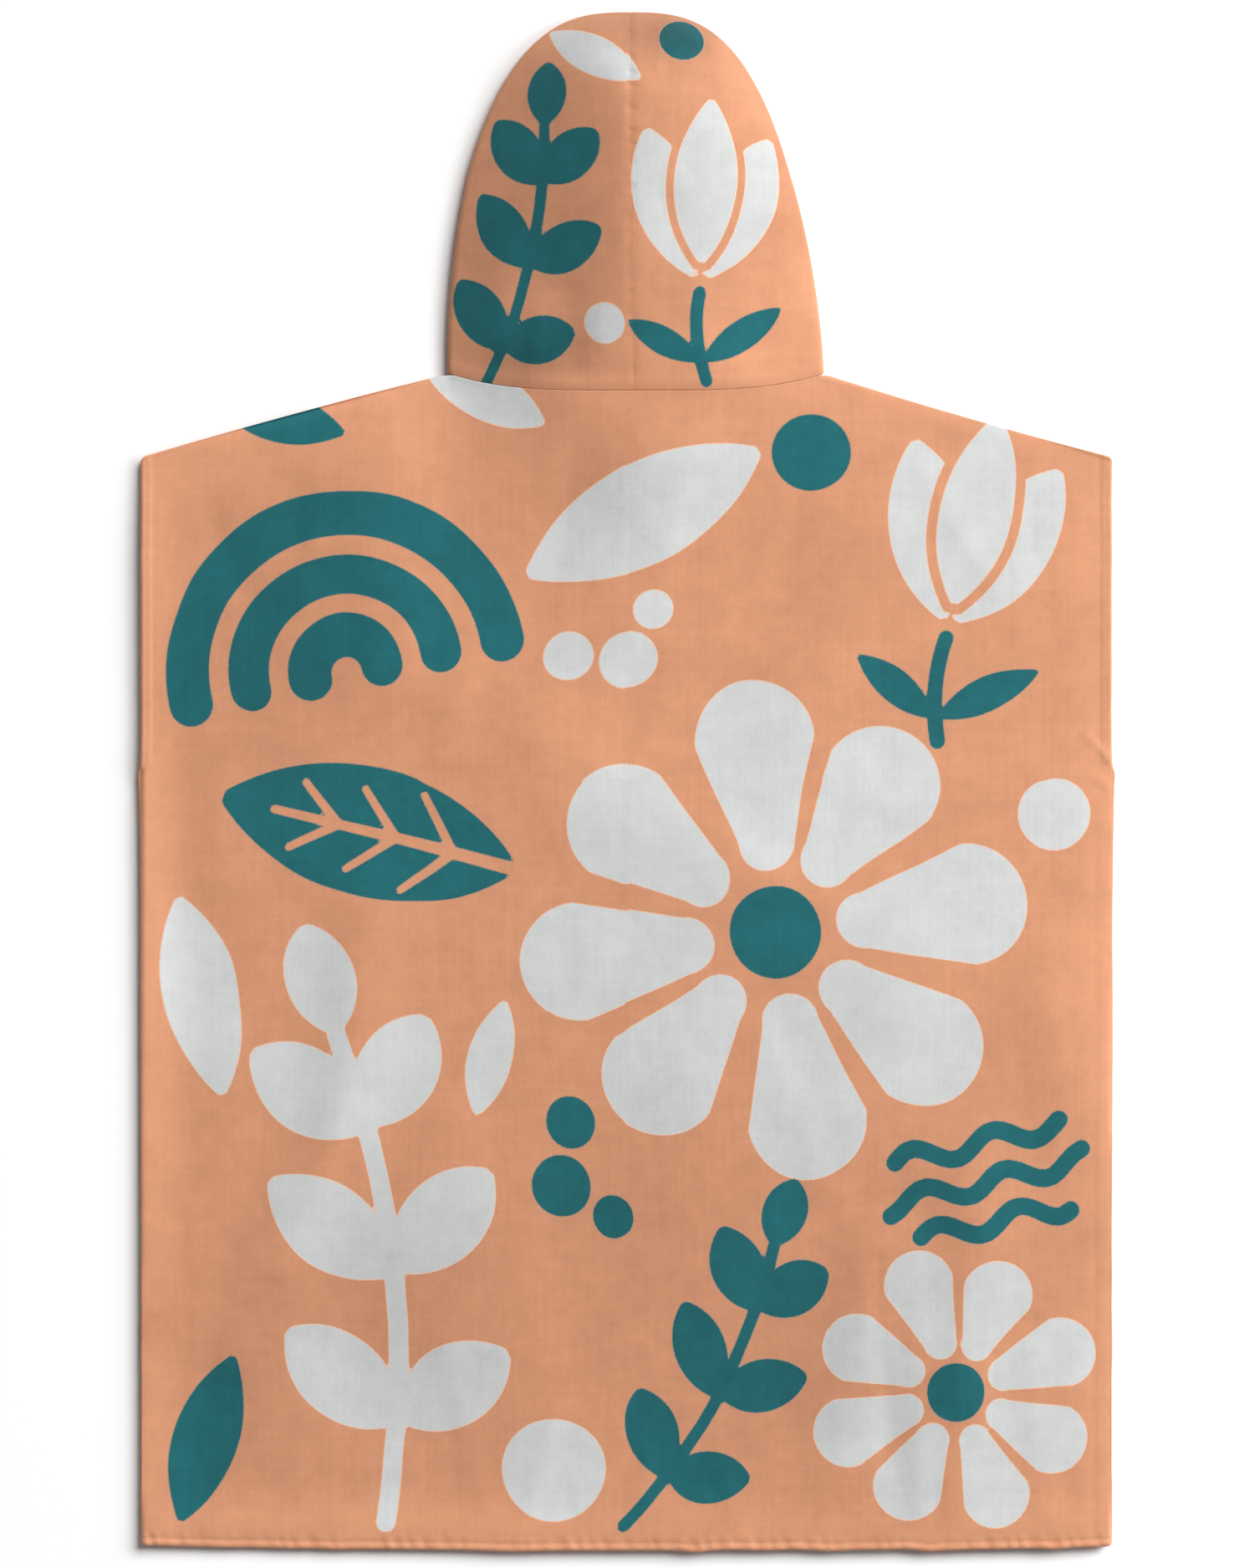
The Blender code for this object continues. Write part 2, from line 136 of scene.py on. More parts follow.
body = {
    "length": 1.265,  # hem to crown
    "halfWidth": 0.4,
    "hemBow": 0.0038,  # the hem's corners sit this much higher than its middle
    "shoulderY": 0.2665,
    "neckY": 0.335,
    "leftArch": 0.0014,
    "rightArch": -0.002,
    "armholeEnd": 0.01,  # the side seam stops here
    "armholeFade": 0.006,
    "armholeIn": 0.0006,  # the armhole's edge sits this much further in than the side seam
    "armholeEase": 0.004,
    "sideSwell": (0.0015, 0.060),  # at the armhole's end: height and width
    "sideTaper": (0.0008, -0.15, -0.45),  # further down: by how much, between which y
    "waver": ((0.00045, 0.031, 0.3), (0.00020, 0.012, 0.7)),  # of the side edges: height, size, noise's row
    "waverWidth": 0.012,
    "cornerRadius": 0.004,
    "backDip": 0.015,
    "backPower": 3.5,
    "backGap": 0.0002,  # to the hood along the neckline
    "frontDip": 0.085,
    "frontPower": 2.0,
    "frontGap": 0.0006,
    "neckPointGap": 0.0014,
    "neckFade": 0.055,  # the back panel climbs to the hood over this distance
    "neckEnd": 0.85,  # and the climb fades out between these shares of the neck's half width
    "neckOut": 1.35,
    "humpFade": 0.08,  # the neck's loft runs out over this distance
    "humpBlend": 0.03,
    "humpSpread": 0.75,
    "neckCalm": 0.8,  # share of the folds that the climb takes out
    "armholeGape": 0.0004,
    "gapeWidth": 0.03,
    "gapeSize": 0.055,
    "gapeEnd": (0.19, 0.25),
    "loft": 0.0022,  # slack between the panels, which runs out towards the lower left
    "loftSide": 0.02,  # the loft rises from the right side seam and from the shoulders over these widths
    "loftTop": 0.034,
    "loftLean": 0.5,  # and it fades out with this share of x plus y, between the two values below
    "loftFade": (-0.75, 0.0),
    "neckLip": 0.0002,  # the panel's edge stands up at the neck seam
    "neckLipWidth": 0.0018,
}

hems = {
    "hemDepth": 0.007,
    "hemRise": 0.0005,
    "cuffDepth": 0.0065,
    "cuffRise": 0.0003,
    "hemFull": 0.002,  # the hem's thickness grows from its stitches to here, this far from its edge
    "cuffStep": 0.003,
    "stitchIn": 0.0012,  # the stitches run this far inside the turned depth
    "hemDip": 0.00055,
    "cuffDip": 0.00028,
    "stitchWidth": 0.0011,
    "hemLift": 0.0017,  # the cloth sinks from the thick hem over this distance
    "hemLiftFade": 0.024,
    "hemPitch": 0.0135,  # mean distance between gathers
    "cuffPitch": 0.01,
    "gatherLean": 0.35,  # the gathers lean over as they run on into the cloth
    "gatherAt": 0.6,  # their middle and their width, in depths of the hem
    "gatherWidth": 0.9,
    "gatherVary": (0.6, 0.7, 0.037),  # their mean strength, its unevenness and the size of that
    "dentVary": (0.8, 0.5),  # and the stitches' dents likewise, which follow the gathers
    "cuffFade": 0.02,  # and the armholes' relief fades out this far below the shoulders
    "waveDepth": 0.022,  # how far up from the edge the hem's waves reach
    "printEdge": 0.001,  # half the width over which print passes into lining inside a hem
    "hemGather": 0.00105,
    "cuffGather": 0.00022,
    "lipAt": 0.0016,  # the turned fold stands up a little along its very edge
    "lipWidth": 0.0012,
    "hemLip": 0.00012,
    "cuffLip": 0.0,
}

seams = {
    "leftRise": 0.0015,  # the rolls of cloth over the turned-in allowances
    "rightRise": 0.0018,
    "topRise": (0.0056, 0.0032),  # beside the left and the right shoulder seam
    "leftWidth": 0.0013,  # the left side seam's roll is short and blunt, and the cloth sinks again beside it
    "leftPower": 3.0,  # the higher, the sooner the roll reaches its height
    "leftFade": 0.024,
    "width": 0.012,
    "topWidth": 0.016,
    "power": 2.0,
    "groove": 0.0003,
    "grooveWidth": 0.0016,
    "grooveAt": 1.25,  # in widths of the roll
    "sideBlend": (-0.3, 0.1),  # the left side's roll passes into the right one's between these x
    "topBlend": (-0.15, 0.15),
    "ease": 0.004,  # folds start this far from a seam
    "sideEnd": (-0.030, 0.050),  # the sides' rolls run out past the armholes' ends
    "topEnd": (-0.350, 0.200),  # and the height beside the shoulders runs out down the body
    "topSink": (0.0700, 0.85),  # and towards the armholes' edges: over this width, by this share
    "frontLift": 0.0012,  # the front panel's edge turns up to the seam
    "frontWidth": 0.006,
}

# The hem's own waves: x of each, half its width, and how far it hangs below the smooth line
hemWaves = (
    (-0.388, 0.014, -0.0006),
    (-0.330, 0.014, 0.0004),
    (-0.278, 0.016, 0.0005),
    (-0.238, 0.011, 0.0007),
    (-0.094, 0.026, 0.0010),
    (0.057, 0.009, 0.0015),
    (0.088, 0.012, -0.0006),
    (0.138, 0.008, -0.0006),
    (0.170, 0.011, 0.0011),
    (0.228, 0.009, -0.0006),
    (0.250, 0.010, 0.0014),
    (0.270, 0.009, 0.0005),
    (0.300, 0.100, 0.0009),
    (0.354, 0.010, 0.0012),
)

# Folds of the back panel, from (x0, y0) to (x1, y1): width and height
folds = (
    (-0.212, -0.110, -0.224, -0.222, 0.030, 0.0036),
    (-0.236, -0.272, -0.286, -0.400, 0.030, 0.0036),
    (-0.080, -0.520, -0.120, -0.370, 0.075, 0.0050),
    (-0.225, -0.560, -0.300, -0.470, 0.045, 0.0026),
    (0.285, -0.340, 0.262, -0.570, 0.034, 0.0039),
    (0.205, -0.390, 0.180, -0.560, 0.030, 0.0026),
    (0.070, -0.280, 0.020, -0.470, 0.060, 0.0034),
    (-0.205, 0.235, -0.200, 0.110, 0.056, 0.0055),
    (0.035, 0.290, 0.000, 0.130, 0.042, 0.0039),
    (0.200, 0.200, 0.140, 0.030, 0.050, 0.0029),
    (-0.352, 0.100, -0.335, -0.080, 0.028, 0.0023),
    (-0.060, 0.010, 0.080, -0.070, 0.060, 0.0039),
    (0.345, -0.150, 0.372, -0.270, 0.034, 0.0026),
    (0.220, -0.160, 0.180, -0.280, 0.050, 0.0029),
    (-0.330, -0.240, -0.350, -0.380, 0.040, 0.0021),
)

# Smaller creases and troughs, in the same columns
creases = (
    (-0.218, -0.180, -0.240, -0.300, 0.012, 0.0004),
    (-0.250, -0.322, -0.284, -0.400, 0.011, 0.0004),
    (-0.268, -0.440, -0.306, -0.530, 0.013, 0.0007),
    (-0.330, -0.380, -0.352, -0.560, 0.014, -0.0007),
    (-0.150, -0.450, -0.118, -0.590, 0.013, 0.0006),
    (-0.060, -0.520, -0.086, -0.622, 0.010, 0.0005),
    (0.022, -0.470, 0.012, -0.610, 0.009, 0.0004),
    (0.075, -0.540, 0.092, -0.625, 0.010, 0.0005),
    (0.205, -0.390, 0.216, -0.560, 0.008, -0.0006),
    (0.234, -0.370, 0.240, -0.600, 0.010, 0.0006),
    (0.262, -0.420, 0.255, -0.610, 0.010, -0.0005),
    (0.330, -0.470, 0.346, -0.600, 0.013, 0.0006),
    (0.362, -0.160, 0.376, -0.330, 0.011, -0.0005),
    (0.379, 0.037, 0.397, 0.018, 0.0032, 0.0009),
    (0.383, 0.006, 0.397, -0.006, 0.0040, 0.0005),
    (-0.380, 0.030, -0.397, 0.014, 0.0034, 0.0007),
    (-0.340, 0.220, -0.300, 0.120, 0.014, -0.0008),
    (-0.250, 0.250, -0.264, 0.150, 0.011, 0.0007),
    (-0.130, 0.120, -0.152, -0.020, 0.015, 0.0007),
    (-0.040, 0.290, -0.056, 0.180, 0.012, -0.0007),
    (0.060, 0.300, 0.030, 0.170, 0.013, 0.0006),
    (0.150, 0.280, 0.128, 0.160, 0.013, -0.0006),
    (0.245, 0.250, 0.302, 0.160, 0.014, 0.0007),
    (0.330, 0.230, 0.346, 0.120, 0.011, -0.0006),
    (0.090, -0.060, 0.172, -0.110, 0.013, 0.0006),
    (-0.010, -0.120, -0.060, -0.214, 0.013, 0.0006),
    (0.110, -0.210, 0.162, -0.334, 0.015, 0.0007),
)

# Patches of painted light and shade on the panels, standing in for shading that the lamps don't give, in the
# same columns: the last is how much paler or darker the colour is painted
bodyPaintedShading = (
    (-0.392, -0.400, -0.392, 0.240, 0.036, 0.22),
    (-0.392, -0.580, -0.392, -0.480, 0.026, 0.10),
    (-0.360, 0.262, -0.190, 0.300, 0.036, 0.08),
    (-0.370, -0.604, -0.060, -0.606, 0.018, 0.08),
    (-0.330, -0.420, 0.060, -0.440, 0.130, -0.09),
    (-0.080, 0.290, -0.030, 0.230, 0.045, -0.08),
    (0.350, 0.120, 0.300, 0.230, 0.090, -0.04),
    (0.290, -0.300, 0.270, -0.500, 0.120, -0.06),
    (0.020, -0.270, 0.160, -0.460, 0.120, -0.07),
    (-0.300, 0.120, -0.330, 0.020, 0.060, -0.04),
)

# Painted light and shade on the hood, in the same columns: darker over the crown, along the crown seam, on
# the left flank and left of the neck, paler below the crown and right of the neck
hoodPaintedShading = (
    (-0.140, 0.380, -0.125, 0.480, 0.060, -0.08),
    (-0.020, 0.616, 0.050, 0.606, 0.026, -0.26),
    (0.052, 0.604, 0.120, 0.470, 0.052, -0.20),
    (-0.028, 0.580, -0.034, 0.500, 0.026, 0.17),
    (-0.086, 0.346, -0.046, 0.358, 0.022, -0.22),
    (0.030, 0.352, 0.104, 0.350, 0.026, 0.18),
    (0.0058, 0.340, 0.0032, 0.630, 0.0036, -0.06),
)

hood = {
    "rise": body["length"] / 2 - body["neckY"] - cloth["thickness"] / 2,
    "half": 0.1536,
    "sidePower": 2.88,
    "crownPower": 1.71,
    "midX": 0.0076,
    "dome": 0.0475,
    "neckDome": 0.016,
    "neckPower": 1.9,  # of the section at the neck
    "domePower": 2.8,  # and of the right half's sections and the crown's
    "domeRound": 0.42,  # the left half's section is a hyperbola, round at the seam and straight further out
    "neckRoll": 0.003,
    "roll": 0.004,
    "rollStart": 58.0,
    "rollEnd": -75.0,
    "seamTopRise": 0.2,
    "lowerTopRise": 0.235,
    "faceTopRise": 0.215,
    "faceHalf": 0.043,
    "facePower": 2.6,
    "settle": 0.25,  # share of the rows over which the neck's curve eases into straight sections
    "rows": 118,
    "rowPower": 1.44,  # draws the rows together towards the crown
    "domeColumns": 58,
    "rollColumns": 11,
    "flapColumns": 26,
    "edgeShares": (0.0, 0.0012, 0.0040, 0.0085),  # extra lines beside a seam
    "straightEnd": (0.55, 1.0),  # shares of the way to the crown between which the hyperbola fades out
    "foldStart": 0.012,  # folds start this far from the neck seam
    "foldEnd": (-0.2, 1.0),  # and fade out round the roll, between these sines of its angle
    "neckPuff": 0.0008,
    "neckPuffAt": 0.006,
    "neckPuffWidth": 0.005,
    "crownRim": 0.97,  # the rim's level at the crown seam
    "neckRim": 0.95,
    "seamGroove": 0.0002,
    "seamGrooveWidth": 0.0042,
    "seamPitch": 0.0152,
    "seamDimple": 0.0007,
}

# Lean of the hood: level above the neck points, x of the crown seam there, x of the outline's middle
lean = (
    (0.000, 0.0058, 0.0076),
    (0.080, 0.0051, 0.0050),
    (0.170, 0.0043, 0.0018),
    (0.240, 0.0037, 0.0020),
    (hood["rise"], 0.0032, 0.0032),
)

# The hood's own soft folds, in the columns of the folds above
hoodFolds = (
    (-0.048, 0.392, -0.040, 0.338, 0.016, -0.0014),
    (-0.104, 0.352, -0.098, 0.430, 0.014, 0.0010),
    (-0.074, 0.356, -0.078, 0.400, 0.010, 0.0007),
    (0.058, 0.352, 0.052, 0.410, 0.015, 0.0010),
    (0.104, 0.352, 0.112, 0.440, 0.015, -0.0009),
    (-0.040, 0.505, -0.070, 0.440, 0.020, -0.0010),
    (0.048, 0.560, 0.080, 0.500, 0.018, 0.0009),
    (0.034, 0.470, 0.046, 0.430, 0.014, -0.0008),
    (-0.060, 0.580, -0.090, 0.520, 0.014, 0.0007),
)

hemY = -body["length"] / 2


def leanX(column, rise):  # column 1 is the crown seam, column 2 the outline's middle
    return np.interp(rise, [row[0] for row in lean], [row[column] for row in lean])


def neckX(side):
    return hood["midX"] + side * hood["half"]


def neckShare(x):  # 0 at the crown seam, 1 at the neck point on either side
    seam = leanX(1, 0.0)
    return np.abs(x - seam) / np.where(x < seam, seam - neckX(-1), neckX(1) - seam)


def sideX(y):
    # half the body's width: the side seam sits a little outside the armhole's turned edge
    end, ease, inwards = body["armholeEnd"], body["armholeEase"], body["armholeIn"]
    below = 1.0 - smoothStep(end - ease, end + ease, y)
    (swellHeight, swellWidth), (taper, taperTop, taperFoot) = body["sideSwell"], body["sideTaper"]
    swell = swellHeight * bell(y - end, swellWidth)
    taper = taper * smoothStep(taperTop, taperFoot, y)
    return body["halfWidth"] - inwards + below * (inwards + swell) - taper


def hemLine(x):
    return hemY + body["hemBow"] * (x / body["halfWidth"]) ** 2


def neckDepth(x, panel):  # a neckline's power curve: dip * (1 - share^power) below the neck points
    return body[panel + "Dip"] * (1.0 - np.minimum(neckShare(x), 1.0) ** body[panel + "Power"])


def topLine(x, panel):
    # shoulder, neckline, shoulder: the neckline keeps a seam's gap, square to its slope, to the hood
    share, power = np.minimum(neckShare(x), 1.0), body[panel + "Power"]
    slope = body[panel + "Dip"] * power * share ** (power - 1.0) / hood["half"]
    neck = body["neckY"] - neckDepth(x, panel) - body[panel + "Gap"] * np.sqrt(1.0 + slope * slope)
    reach = np.where(x < 0.0, body["halfWidth"] + neckX(-1), body["halfWidth"] - neckX(1))
    up = np.clip((body["halfWidth"] - np.abs(x)) / reach, 0.0, 1.0)
    arch = np.where(x < 0.0, body["leftArch"], body["rightArch"]) * 4.0 * up * (1.0 - up)
    shoulder = body["shoulderY"] + (body["neckY"] - body["shoulderY"]) * up + arch
    line = np.where((x > neckX(-1)) & (x < neckX(1)), neck, shoulder)
    return np.minimum(line, body["neckY"] - body["neckPointGap"])


def shoulderDistance(x, y):  # how far points lie from the nearest shoulder seam
    half, shoulderY = body["halfWidth"], body["shoulderY"]
    left = stretchDistance(x, y, -half, shoulderY, neckX(-1), body["neckY"])
    right = stretchDistance(x, y, half, shoulderY, neckX(1), body["neckY"])
    return np.minimum(left, right)


def seamDistance(x, y):  # and from the nearest side seam or shoulder seam
    side = body["halfWidth"] - np.abs(x) + 10.0 * np.maximum(y - body["armholeEnd"], 0.0)
    return np.minimum(np.maximum(side, 0.0), shoulderDistance(x, y))


panelPlan = {
    "run": 0.93,  # every column is first laid out this long, then stretched between hem and top
    "hemBand": 0.03,
    "topBand": 0.06,
    "sideBand": 0.04,
    "edgeLines": (0.0, 0.0002, 0.0007, 0.0015, 0.0026, 0.0040, 0.0053, 0.0066, 0.0080, 0.0096, 0.0118,
                  0.0145, 0.0180, 0.0225),
    "keptEdgeLines": (0, 1, 2, 3, 4, 6, 9),  # the plain skin's share of them
    "keptEvery": 4,
    "backSpacing": 0.003,
    "frontSpacing": 0.004,
}


def planLines(length, spacing):
    # the edge lines at both ends of a length, and even lines between them
    lines = np.array(panelPlan["edgeLines"])
    between = np.linspace(lines[-1], length - lines[-1], int((length - 2.0 * lines[-1]) / spacing) + 2)
    return np.concatenate([lines[:-1], between, (length - lines[:-1])[::-1]])


def keptLines(count):  # the plain skin's lines, as places in the printed skin's lines
    near, last = panelPlan["keptEdgeLines"], len(panelPlan["edgeLines"]) - 1
    between = range(last, count - last - 1, panelPlan["keptEvery"])
    return np.array([*near, *between, count - 1 - last, *[count - 1 - i for i in near[::-1]]])


def gridQuads(index):
    ring = (index[:-1, :-1], index[:-1, 1:], index[1:, 1:], index[1:, :-1])
    return np.stack(ring, -1).reshape(-1, 4).tolist()


def panelGrid(spacing, printedUp):
    # Both skins of a panel over (across, up from the hem). The printed skin is cut fine, the plain one
    # coarse, with all the points of the shared rim in its outermost cells. Level is 1 above, -1 below and 0
    # on the rim
    width = 2.0 * body["halfWidth"]
    across, up = planLines(width, spacing) - width / 2, planLines(panelPlan["run"], spacing)
    rows, columns = len(up), len(across)
    index = np.arange(rows * columns).reshape(rows, columns)
    rim = np.ones((rows, columns), bool)
    rim[1:-1, 1:-1] = False
    side = 1.0 if printedUp else -1.0
    keptRows, keptColumns = keptLines(rows), keptLines(columns)
    plain = index[np.ix_(keptRows, keptColumns)]
    inner = plain[1:-1, 1:-1]
    points = np.stack(np.meshgrid(across, up), -1).reshape(-1, 2)
    points = np.concatenate([points, points[inner.ravel()]])
    level = np.concatenate([np.where(rim, 0.0, side).ravel(), np.full(inner.size, -side)])
    plain[1:-1, 1:-1] = rows * columns + np.arange(inner.size).reshape(inner.shape)
    plainFaces = gridQuads(plain[1:-1, 1:-1])
    lastRow, lastColumn = len(keptRows) - 2, len(keptColumns) - 2
    for i in range(lastRow + 1):
        edgeRow = i in (0, lastRow)
        for j in (range(lastColumn + 1) if edgeRow else (0, lastColumn)):
            a, b = keptRows[i], keptRows[i + 1]
            c, d = keptColumns[j], keptColumns[j + 1]
            low = index[a, c:d + 1] if i == 0 else plain[i, [j, j + 1]]
            high = index[b, c:d + 1] if i == lastRow else plain[i + 1, [j, j + 1]]
            left = index[a:b + 1, c] if j == 0 else plain[[i, i + 1], j]
            right = index[a:b + 1, d] if j == lastColumn else plain[[i, i + 1], j + 1]
            plainFaces.append([*low[:-1], *right[:-1], *high[:0:-1], *left[:0:-1]])
    printedFaces = gridQuads(index)
    if printedUp:
        plainFaces = [face[::-1] for face in plainFaces]
    else:
        printedFaces = [face[::-1] for face in printedFaces]
    return points[:, 0], points[:, 1], level, printedFaces + plainFaces


def roundedCorner(across, along):  # pulls the plan's square corner in to an arc
    radius = body["cornerRadius"]
    p, q = np.clip(1.0 - across / radius, 0.0, 1.0), np.clip(1.0 - along / radius, 0.0, 1.0)
    newAcross = np.where(p > 0.0, radius * (1.0 - p * np.sqrt(1.0 - q * q / 2.0)), across)
    newAlong = np.where(q > 0.0, radius * (1.0 - q * np.sqrt(1.0 - p * p / 2.0)), along)
    return newAcross, newAlong


def panelPlaces(x0, up, panel):
    # x, y and the distances in from side, hem and top. y runs evenly between the hem line and the top line,
    # apart from a band at each of them that keeps its own depth
    half, run = body["halfWidth"], panelPlan["run"]
    low, high = hemLine(x0), topLine(x0, panel)
    stretch = (up - panelPlan["hemBand"]) / (run - panelPlan["hemBand"] - panelPlan["topBand"])
    y = low + up + (high - low - run) * np.clip(stretch, 0.0, 1.0)
    across, fromHem, fromTop = half - np.abs(x0), y - low, high - y
    lowAcross, lowIn = roundedCorner(across, fromHem)
    topAcross, topIn = roundedCorner(across, fromTop)
    y = y + (lowIn - fromHem) - np.where(across < body["cornerRadius"], topIn - fromTop, 0.0)
    outer = half - panelPlan["sideBand"]
    inner = np.where(x0 < 0.0, -neckX(-1), neckX(1))
    follow = np.clip((np.abs(x0) - inner) / (outer - inner), 0.0, 1.0)
    x = np.sign(x0) * (half - np.maximum(lowAcross, topAcross) + follow * (sideX(y) - half))
    # the hem's waves, and a slight waver of the side edges
    wave = sum(drop * bell(x0 - at, width) for at, width, drop in hemWaves)
    y = y - wave * bell(fromHem, hems["waveDepth"])
    waves = zip(body["waver"], seeds["waver"])
    waver = sum(high * softNoise(y, row, size, seed) for (high, size, row), seed in waves)
    x = x + np.sign(x0) * waver * bell(across, body["waverWidth"])
    return x, y, across, fromHem, fromTop


def turnedRise(y, across, fromHem):  # extra thickness where the hem and the armhole edges are turned in
    hem = hems["hemRise"] * (1.0 - smoothStep(hems["hemFull"], hems["hemDepth"], fromHem))
    depth = hems["cuffDepth"]
    cuff = hems["cuffRise"] * (1.0 - smoothStep(depth, depth + hems["cuffStep"], across))
    return np.maximum(hem, cuff * armhole(y))


def armhole(y):  # 1 along the armholes, 0 below them
    return smoothStep(body["armholeEnd"], body["armholeEnd"] + body["armholeFade"], y)


def stitchedRelief(kind, away, along):
    # a turned edge is held down along its stitches, and its gathers run on into the cloth beside it
    depth = hems[kind + "Depth"]
    gather = gathers(along + hems["gatherLean"] * away, hems[kind + "Pitch"], seeds[kind])
    mean, vary, size = hems["gatherVary"]
    strength = mean + vary * softNoise(along, 0.5, size, seeds[kind])
    mean, vary = hems["dentVary"]
    dent = hems[kind + "Dip"] * bell(away - depth + hems["stitchIn"], hems["stitchWidth"])
    dent = dent * (mean + vary * gather)
    lip = hems[kind + "Lip"] * bell(away - hems["lipAt"], hems["lipWidth"])
    reach = bell(away - hems["gatherAt"] * depth, hems["gatherWidth"] * depth)
    return hems[kind + "Gather"] * strength * gather * reach + lip - dent


def frontLift(seam):  # how far the front panel's edge is turned up, this far from a seam
    return seams["frontLift"] * (1.0 - smoothStep(0.0, seams["frontWidth"], seam))


def frontUpper(y, across, fromHem, seam):
    return cloth["thickness"] + frontLift(seam) + turnedRise(y, across, fromHem)


def rollHeight(radius):  # of the hood's roll over the floor layer, where the loft runs on to it
    return radius * (1.0 + np.sin(np.radians(hood["rollStart"])))


def neckHump(share, fromTop):
    # the neck's loft on the back panel: 1 - share^power at the seam, a bell further down
    atSeam = 1.0 - np.minimum(share, 1.0) ** hood["neckPower"]
    blend = smoothStep(0.0, body["humpBlend"], fromTop)
    section = atSeam + (bell(share, body["humpSpread"]) - atSeam) * blend
    return hood["neckDome"] * section * bell(fromTop, body["humpFade"])


def roundRise(at, width, power):  # (1 - (1 - s)^power)^(1 / power) over this width: 0 at a seam, then 1
    return (1.0 - np.clip(1.0 - at / width, 0.0, 1.0) ** power) ** (1.0 / power)


def seamRoll(x, y):
    # the cloth's rise beside the shoulder seams and the side seams. The left side's sinks again as a bell
    side = np.maximum(body["halfWidth"] - np.abs(x), 0.0)
    left = seams["leftRise"] * roundRise(side, seams["leftWidth"], seams["leftPower"])
    left = left * bell(np.maximum(side - seams["leftWidth"], 0.0), seams["leftFade"])
    right = seams["rightRise"] * roundRise(side, seams["width"], seams["power"])
    groove = seams["groove"] * bell(side - seams["grooveAt"] * seams["width"], seams["grooveWidth"])
    atSide = left + (right - groove - left) * smoothStep(*seams["sideBlend"], x)
    leftTop, rightTop = seams["topRise"]
    atTop = leftTop + (rightTop - leftTop) * smoothStep(*seams["topBlend"], x)
    atTop = atTop * smoothStep(*seams["topEnd"], y)
    atTop = atTop * roundRise(shoulderDistance(x, y), seams["topWidth"], seams["power"])
    sinkWidth, sinkShare = seams["topSink"]
    below = 1.0 - smoothStep(*seams["sideEnd"], y)
    return atSide * below + atTop * (1.0 - sinkShare * bell(side, sinkWidth))


def bodyLoft(x, y, fromTop):
    # the slack's height: rise from the right side * rise from the shoulders * fade to the lower left
    atSide = 1.0 - bell(np.maximum(body["halfWidth"] - x, 0.0), body["loftSide"])
    atTop = 1.0 - bell(fromTop, body["loftTop"])
    return body["loft"] * atSide * atTop * smoothStep(*body["loftFade"], body["loftLean"] * x + y)


def backLift(x, y, across, fromHem, fromTop, seam):
    # how far the back panel stands off the front one: rolls at the seams, the neck's rise, folds and creases
    roll = np.maximum(seamRoll(x, y) - frontLift(seam), 0.0)
    share = neckShare(x)
    neckRise = rollHeight(hood["neckRoll"]) - (cloth["thickness"] + cloth["plyGap"])
    atNeck = bell(fromTop, body["neckFade"]) * (1.0 - smoothStep(body["neckEnd"], body["neckOut"], share))
    neckRise = neckRise * atNeck + neckHump(share, fromTop)
    ease = smoothStep(0.0, seams["ease"], seam)
    shape = creaseHeights(folds, x, y) + creaseHeights(creases, x, y) + bodyLoft(x, y, fromTop)
    shape = shape + sum(high * softNoise(x, y, size, seeds["back"]) for size, high in cloth["lumps"])
    shape = shape + hems["hemLift"] * bell(np.maximum(fromHem - hems["hemDepth"], 0.0), hems["hemLiftFade"])
    lip = body["neckLip"] * bell(fromTop - body["neckLipWidth"] / 2, body["neckLipWidth"]) * (share < 1.0)
    atArmhole = armhole(y) * (1.0 - smoothStep(*body["gapeEnd"], y)) * bell(across, body["gapeWidth"])
    uneven = 0.5 + 0.5 * softNoise(y, np.sign(x), body["gapeSize"], seeds["gape"])
    gape = body["armholeGape"] * atArmhole * uneven
    return roll * (1.0 - atNeck) + (neckRise + shape * (1.0 - body["neckCalm"] * atNeck)) * ease + lip + gape


def skinLevel(y, across, fromHem, fromTop, level):
    # where a skin lies between the wall's middle, 0, and its faces, 1 and -1: on the rim's own level at the
    # rim, and from there over a quarter ellipse, narrow at seams and wide at turned edges
    opened = np.maximum(armhole(y) * bell(across, cloth["rimFade"]), bell(fromHem, cloth["rimFade"]))
    rim = cloth["seamRim"] * (1.0 - opened)
    sideWidth = cloth["seamEdge"] + (cloth["openEdge"] - cloth["seamEdge"]) * armhole(y)
    share = np.minimum(arcRise(across, sideWidth), arcRise(fromHem, cloth["hemEdge"]))
    share = np.minimum(share, arcRise(fromTop, cloth["seamEdge"]))
    return rim + (level - rim) * share


def backPoints(x0, up, level):
    # back panel: it lies on the front one, and both its skins bend to the rim
    x, y, across, fromHem, fromTop = panelPlaces(x0, up, "back")
    seam = seamDistance(x, y)
    gap = cloth["seamGap"] + (cloth["plyGap"] - cloth["seamGap"]) * smoothStep(0.0, cloth["gapEase"], seam)
    under = frontUpper(y, across, fromHem, seam) + gap + backLift(x, y, across, fromHem, fromTop, seam)
    atCuff = stitchedRelief("cuff", across, y) * armhole(y) * smoothStep(0.0, hems["cuffFade"], fromTop)
    relief = stitchedRelief("hem", fromHem, x) + atCuff
    over = under + cloth["thickness"] + turnedRise(y, across, fromHem) + relief
    middle, half = (under + over) / 2, (over - under) / 2
    return x, y, middle + half * skinLevel(y, across, fromHem, fromTop, level), across, fromHem, fromTop


def frontPoints(x0, up, level):
    # front panel: flat on the floor, its side and shoulder edges turned up to the seams
    x, y, across, fromHem, fromTop = panelPlaces(x0, up, "front")
    seam = seamDistance(x, y)
    over, under = frontUpper(y, across, fromHem, seam), frontLift(seam)
    middle, half = (under + over) / 2, (over - under) / 2
    return x, y, middle - half * skinLevel(y, across, fromHem, fromTop, -level), across, fromHem, fromTop


# The print: cut-out flowers and leaves. Each motif is a field over its own plane, from -1 to 1, that is
# positive inside its outline and falls off evenly, so that it is a distance once it is scaled

